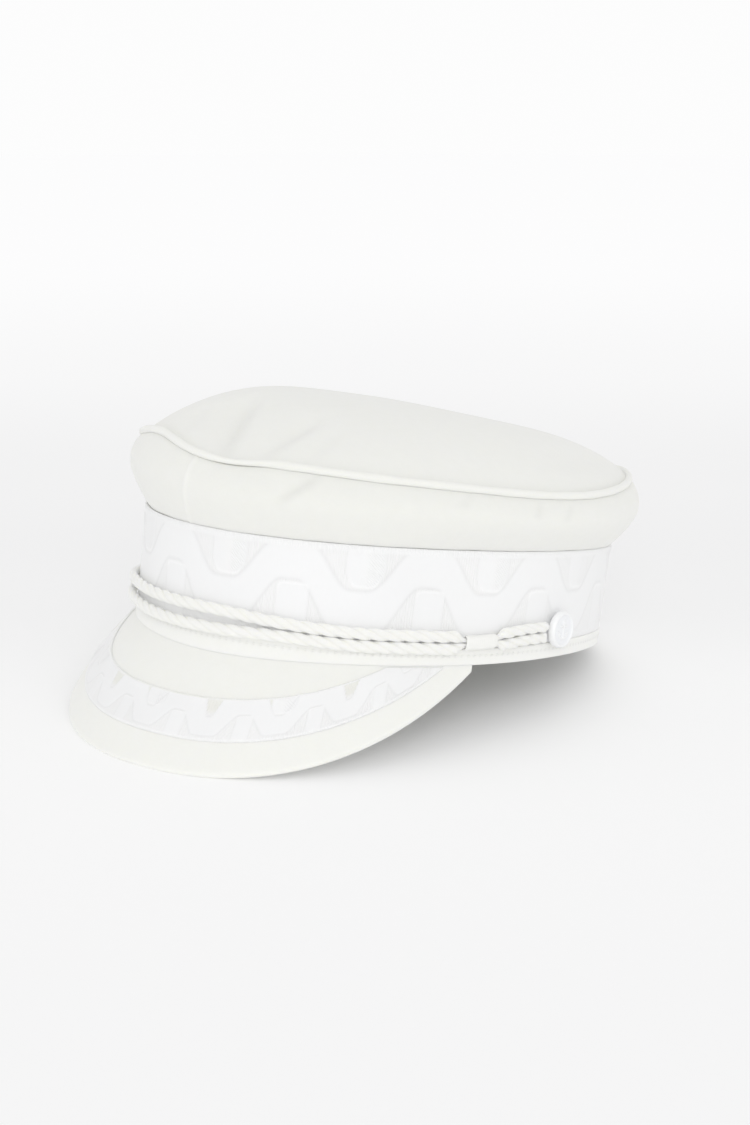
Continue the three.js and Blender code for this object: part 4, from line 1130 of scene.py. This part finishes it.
def shankButton(name, sign):
    # a turned form (shank, back, rounded edge, raised rim, sunk middle) with an anchor raised on its face
    radius, back, face, sink = button["radius"], button["back"], button["face"], button["sink"]
    shank, rounding, axis, inRim = button["shank"], button["soft"], button["axis"], radius - button["rim"]
    turned = np.array([
        (axis, 0), (shank, 0), (shank, back), (radius - 2 * rounding, back), (radius - 0.2, back + 0.6),
        (radius, (back + face) / 2), (radius - 0.12, face - 0.75), (radius - rounding, face - 0.2),
        (radius - button["rim"] * 0.65, face), (inRim, face - 0.12),
        (inRim - rounding * 0.6, face - sink * 0.8), (inRim - rounding * 1.4, face - sink),
        (axis, face - sink * 0.75)])
    run = np.r_[0, np.cumsum(np.hypot(*np.diff(turned, axis=0).T))]
    at = np.linspace(0, run[-1], button["rings"])
    r, h = np.interp(at, run, turned[:, 0])[:, None], np.interp(at, run, turned[:, 1])[:, None]
    turn = np.linspace(0, 2 * np.pi, button["sides"], endpoint=False)[None, :]
    x, y = r * np.cos(turn), r * np.sin(turn)
    onFace = soft((h - (face - sink * 1.3)) / 0.1) * (r < inRim)
    raised = anchorHeight(x, y) * onFace
    h = h + button["relief"] * raised
    angle = np.array(sign * button["angle"])
    seat = oval(angle, np.array(ribbon["selvedgeFace"] + cloth["gap"]), np.array(button["height"]))
    out, up = outward(angle), np.array([0.0, 0.0, 1.0])
    across = np.cross(up, out)
    grid = seat + across * x[..., None] + up * y[..., None] + out * h[..., None]
    tips = np.array([seat, seat + out * (face - sink * 0.75 + button["relief"])])
    # painted highlight: the rim and the raised anchor take the lighter face colour, the sunk middle the
    # darker ground
    paintedRimHighlight = soft((r - (inRim - button["rimShade"])) / button["rimShade"])
    piece = gridPiece(f"{name}_pearl", grid, pearlButton, loopColumns=True, tips=tips,
                      marks={"crown": np.maximum(raised, paintedRimHighlight)}, sharp=60)
    return dress(piece, "button", name)


twistedRun("upper")
twistedRun("lower")
for sideName, sideSign in (("left", 1), ("right", -1)):
    cordSlide(f"cord_slide_{sideName}", sideSign)
    shankButton(f"button_{sideName}", sideSign)


# Stage, light and camera

# the paper floor's tone, painted darker in a band just behind the cap (painted shade): at distances behind
# the cap, seen from the camera, and far away all round (m); its glow is painted light
stage = {"radius": 6.0, "rings": 40, "sides": 96, "nearFrom": 0.6, "farFrom": 1.7, "far": 0.955,
         "cool": 1.004, "glow": 0.11, "glowFrom": 0.04, "glowTo": 0.12, "farGlow": 0.16,
         "back": [-0.60, -0.30, -0.15, -0.03, 0.10, 0.20, 0.35, 0.78, 1.20],
         "tone": [0.935, 0.930, 0.940, 0.930, 0.875, 0.865, 0.880, 0.945, 0.955]}
light = {"world": 0.74, "front": 0.17, "behind": 0.23, "behindFrom": -0.7, "behindTo": -0.93,
         "overhead": 0.06, "overheadFrom": 0.1, "key": 0.66, "keyAzimuth": 42, "keyElevation": 27,
         "keyAngle": 34, "gamma": 1.35}


def paperMaterial():
    # tone read from the table by place along the camera's level direction, painted darker in a band just
    # behind the cap (painted shade), then blended to the far tone; away from the cap the paper glows a little
    # though it is no lamp (painted light), none right under the cap
    material, tree, shader = newMaterial("paper", **{
        "Roughness": 1.0, "Specular IOR Level": 0.0, "Emission Strength": 1.0})
    place = addNode(tree, "ShaderNodeTexCoord").outputs["Object"]
    a = math.radians(camera["azimuth"])
    back = addNode(tree, "ShaderNodeVectorMath", {0: place, 1: (-math.sin(a), math.cos(a), 0)},
                   operation="DOT_PRODUCT").outputs["Value"]
    low, high = stage["back"][0], stage["back"][-1]
    share = addNode(tree, "ShaderNodeMapRange", {"Value": back, "From Min": low, "From Max": high})
    ramp = addNode(tree, "ShaderNodeValToRGB", {"Fac": share.outputs[0]})
    ramp.color_ramp.interpolation = "EASE"
    stops = ramp.color_ramp.elements
    for at in stage["back"][1:-1]:
        stops.new((at - low) / (high - low))
    for stop, tone in zip(stops, stage["tone"]):
        stop.color = (tone, tone, tone * stage["cool"], 1)
    radius = addNode(tree, "ShaderNodeVectorMath", {0: place}, operation="LENGTH").outputs["Value"]
    away = addNode(tree, "ShaderNodeMapRange", {
        "Value": radius, "From Min": stage["nearFrom"], "From Max": stage["farFrom"]},
        interpolation_type="SMOOTHSTEP")
    far = (stage["far"], stage["far"], stage["far"] * stage["cool"], 1)
    tone = addNode(tree, "ShaderNodeMix", {"Factor": away.outputs[0], "A": ramp.outputs["Color"], "B": far},
                   data_type="RGBA")
    tree.links.new(tone.outputs["Result"], shader.inputs["Base Color"])
    outside = addNode(tree, "ShaderNodeMapRange", {
        "Value": radius, "From Min": stage["glowFrom"], "From Max": stage["glowTo"], "To Max": stage["glow"]},
        interpolation_type="SMOOTHSTEP")
    glow = addNode(tree, "ShaderNodeMix", {"Factor": away.outputs[0], "A": outside.outputs[0],
                                           "B": (stage["farGlow"],) * 3 + (1,)}, data_type="RGBA")
    tree.links.new(glow.outputs["Result"], shader.inputs["Emission Color"])
    return material


def paperFloor():
    # a wide level disc of rings, closer together towards the middle
    r = np.linspace(0.02, 1, stage["rings"]) ** 2 * stage["radius"]
    around = np.linspace(0, 2 * np.pi, stage["sides"], endpoint=False)
    points = spot(np.outer(r, np.cos(around)), np.outer(r, np.sin(around)), 0)
    quads = gridFaces(stage["rings"], stage["sides"], False, True)[0]
    mesh = bpy.data.meshes.new("floor")
    mesh.from_pydata(points.reshape(-1, 3).tolist(), [], quads.tolist() + [list(range(stage["sides"]))])
    mesh.materials.append(paperMaterial())
    floor = bpy.data.objects.new("floor", mesh)
    bpy.context.scene.collection.objects.link(floor)


def direction(azimuth, elevation):
    # from the cap towards a place at so many degrees round from the front and up
    a, e = math.radians(azimuth), math.radians(elevation)
    return Vector((math.sin(a) * math.cos(e), -math.cos(a) * math.cos(e), math.sin(e)))


def lights():
    # a paper tent, lighter in front of the cap and far behind it and darker overhead, and a broad soft key
    world = bpy.data.worlds.new("studio")
    world.use_nodes = True
    tree = world.node_tree
    way = addNode(tree, "ShaderNodeTexCoord").outputs["Generated"]
    a = math.radians(camera["azimuth"])
    facing = addNode(tree, "ShaderNodeVectorMath", {0: way, 1: (math.sin(a), -math.cos(a), 0)},
                     operation="DOT_PRODUCT").outputs["Value"]
    front = addNode(tree, "ShaderNodeMapRange", {
        "Value": facing, "To Min": light["world"], "To Max": light["world"] + light["front"]},
        interpolation_type="SMOOTHSTEP")
    behind = addNode(tree, "ShaderNodeMapRange", {
        "Value": facing, "From Min": light["behindFrom"], "From Max": light["behindTo"],
        "To Max": light["behind"]}, interpolation_type="SMOOTHSTEP")
    tent = calculate(tree, "ADD", front.outputs[0], behind.outputs[0])
    up = addNode(tree, "ShaderNodeSeparateXYZ", {0: way}).outputs[2]
    over = addNode(tree, "ShaderNodeMapRange", {
        "Value": up, "From Min": light["overheadFrom"], "To Max": light["overhead"]})
    background = tree.nodes["Background"]
    background.inputs["Color"].default_value = (1, 1, 1, 1)
    tree.links.new(calculate(tree, "SUBTRACT", tent, over.outputs[0]), background.inputs["Strength"])
    bpy.context.scene.world = world
    sun = bpy.data.lights.new("key", "SUN")
    sun.energy = light["key"]
    sun.angle = math.radians(light["keyAngle"])
    lamp = bpy.data.objects.new("key", sun)
    lamp.rotation_mode = "QUATERNION"
    lamp.rotation_quaternion = direction(light["keyAzimuth"], light["keyElevation"]).to_track_quat("Z", "Y")
    bpy.context.scene.collection.objects.link(lamp)


def photoCamera():
    # the camera looks at its target from so far away, set aside across its own view
    back = direction(camera["azimuth"], camera["elevation"])
    a = math.radians(camera["azimuth"])
    target = Vector(camera["target"]) + Vector((math.cos(a), math.sin(a), 0)) * camera["aside"]
    data = bpy.data.cameras.new("camera")
    data.lens, data.sensor_width = camera["lens"], camera["sensor"]
    data.clip_start, data.clip_end = 0.01, 20
    lens = bpy.data.objects.new("camera", data)
    lens.location = (target + back * camera["distance"]) / 1000
    lens.rotation_mode = "QUATERNION"
    lens.rotation_quaternion = back.to_track_quat("Z", "Y")
    bpy.context.scene.collection.objects.link(lens)
    bpy.context.scene.camera = lens


paperFloor()
lights()
photoCamera()
bpy.context.scene.view_settings.view_transform = "Standard"
bpy.context.scene.view_settings.gamma = light["gamma"]
print("stage, light and camera made")

bpy.context.view_layer.update()
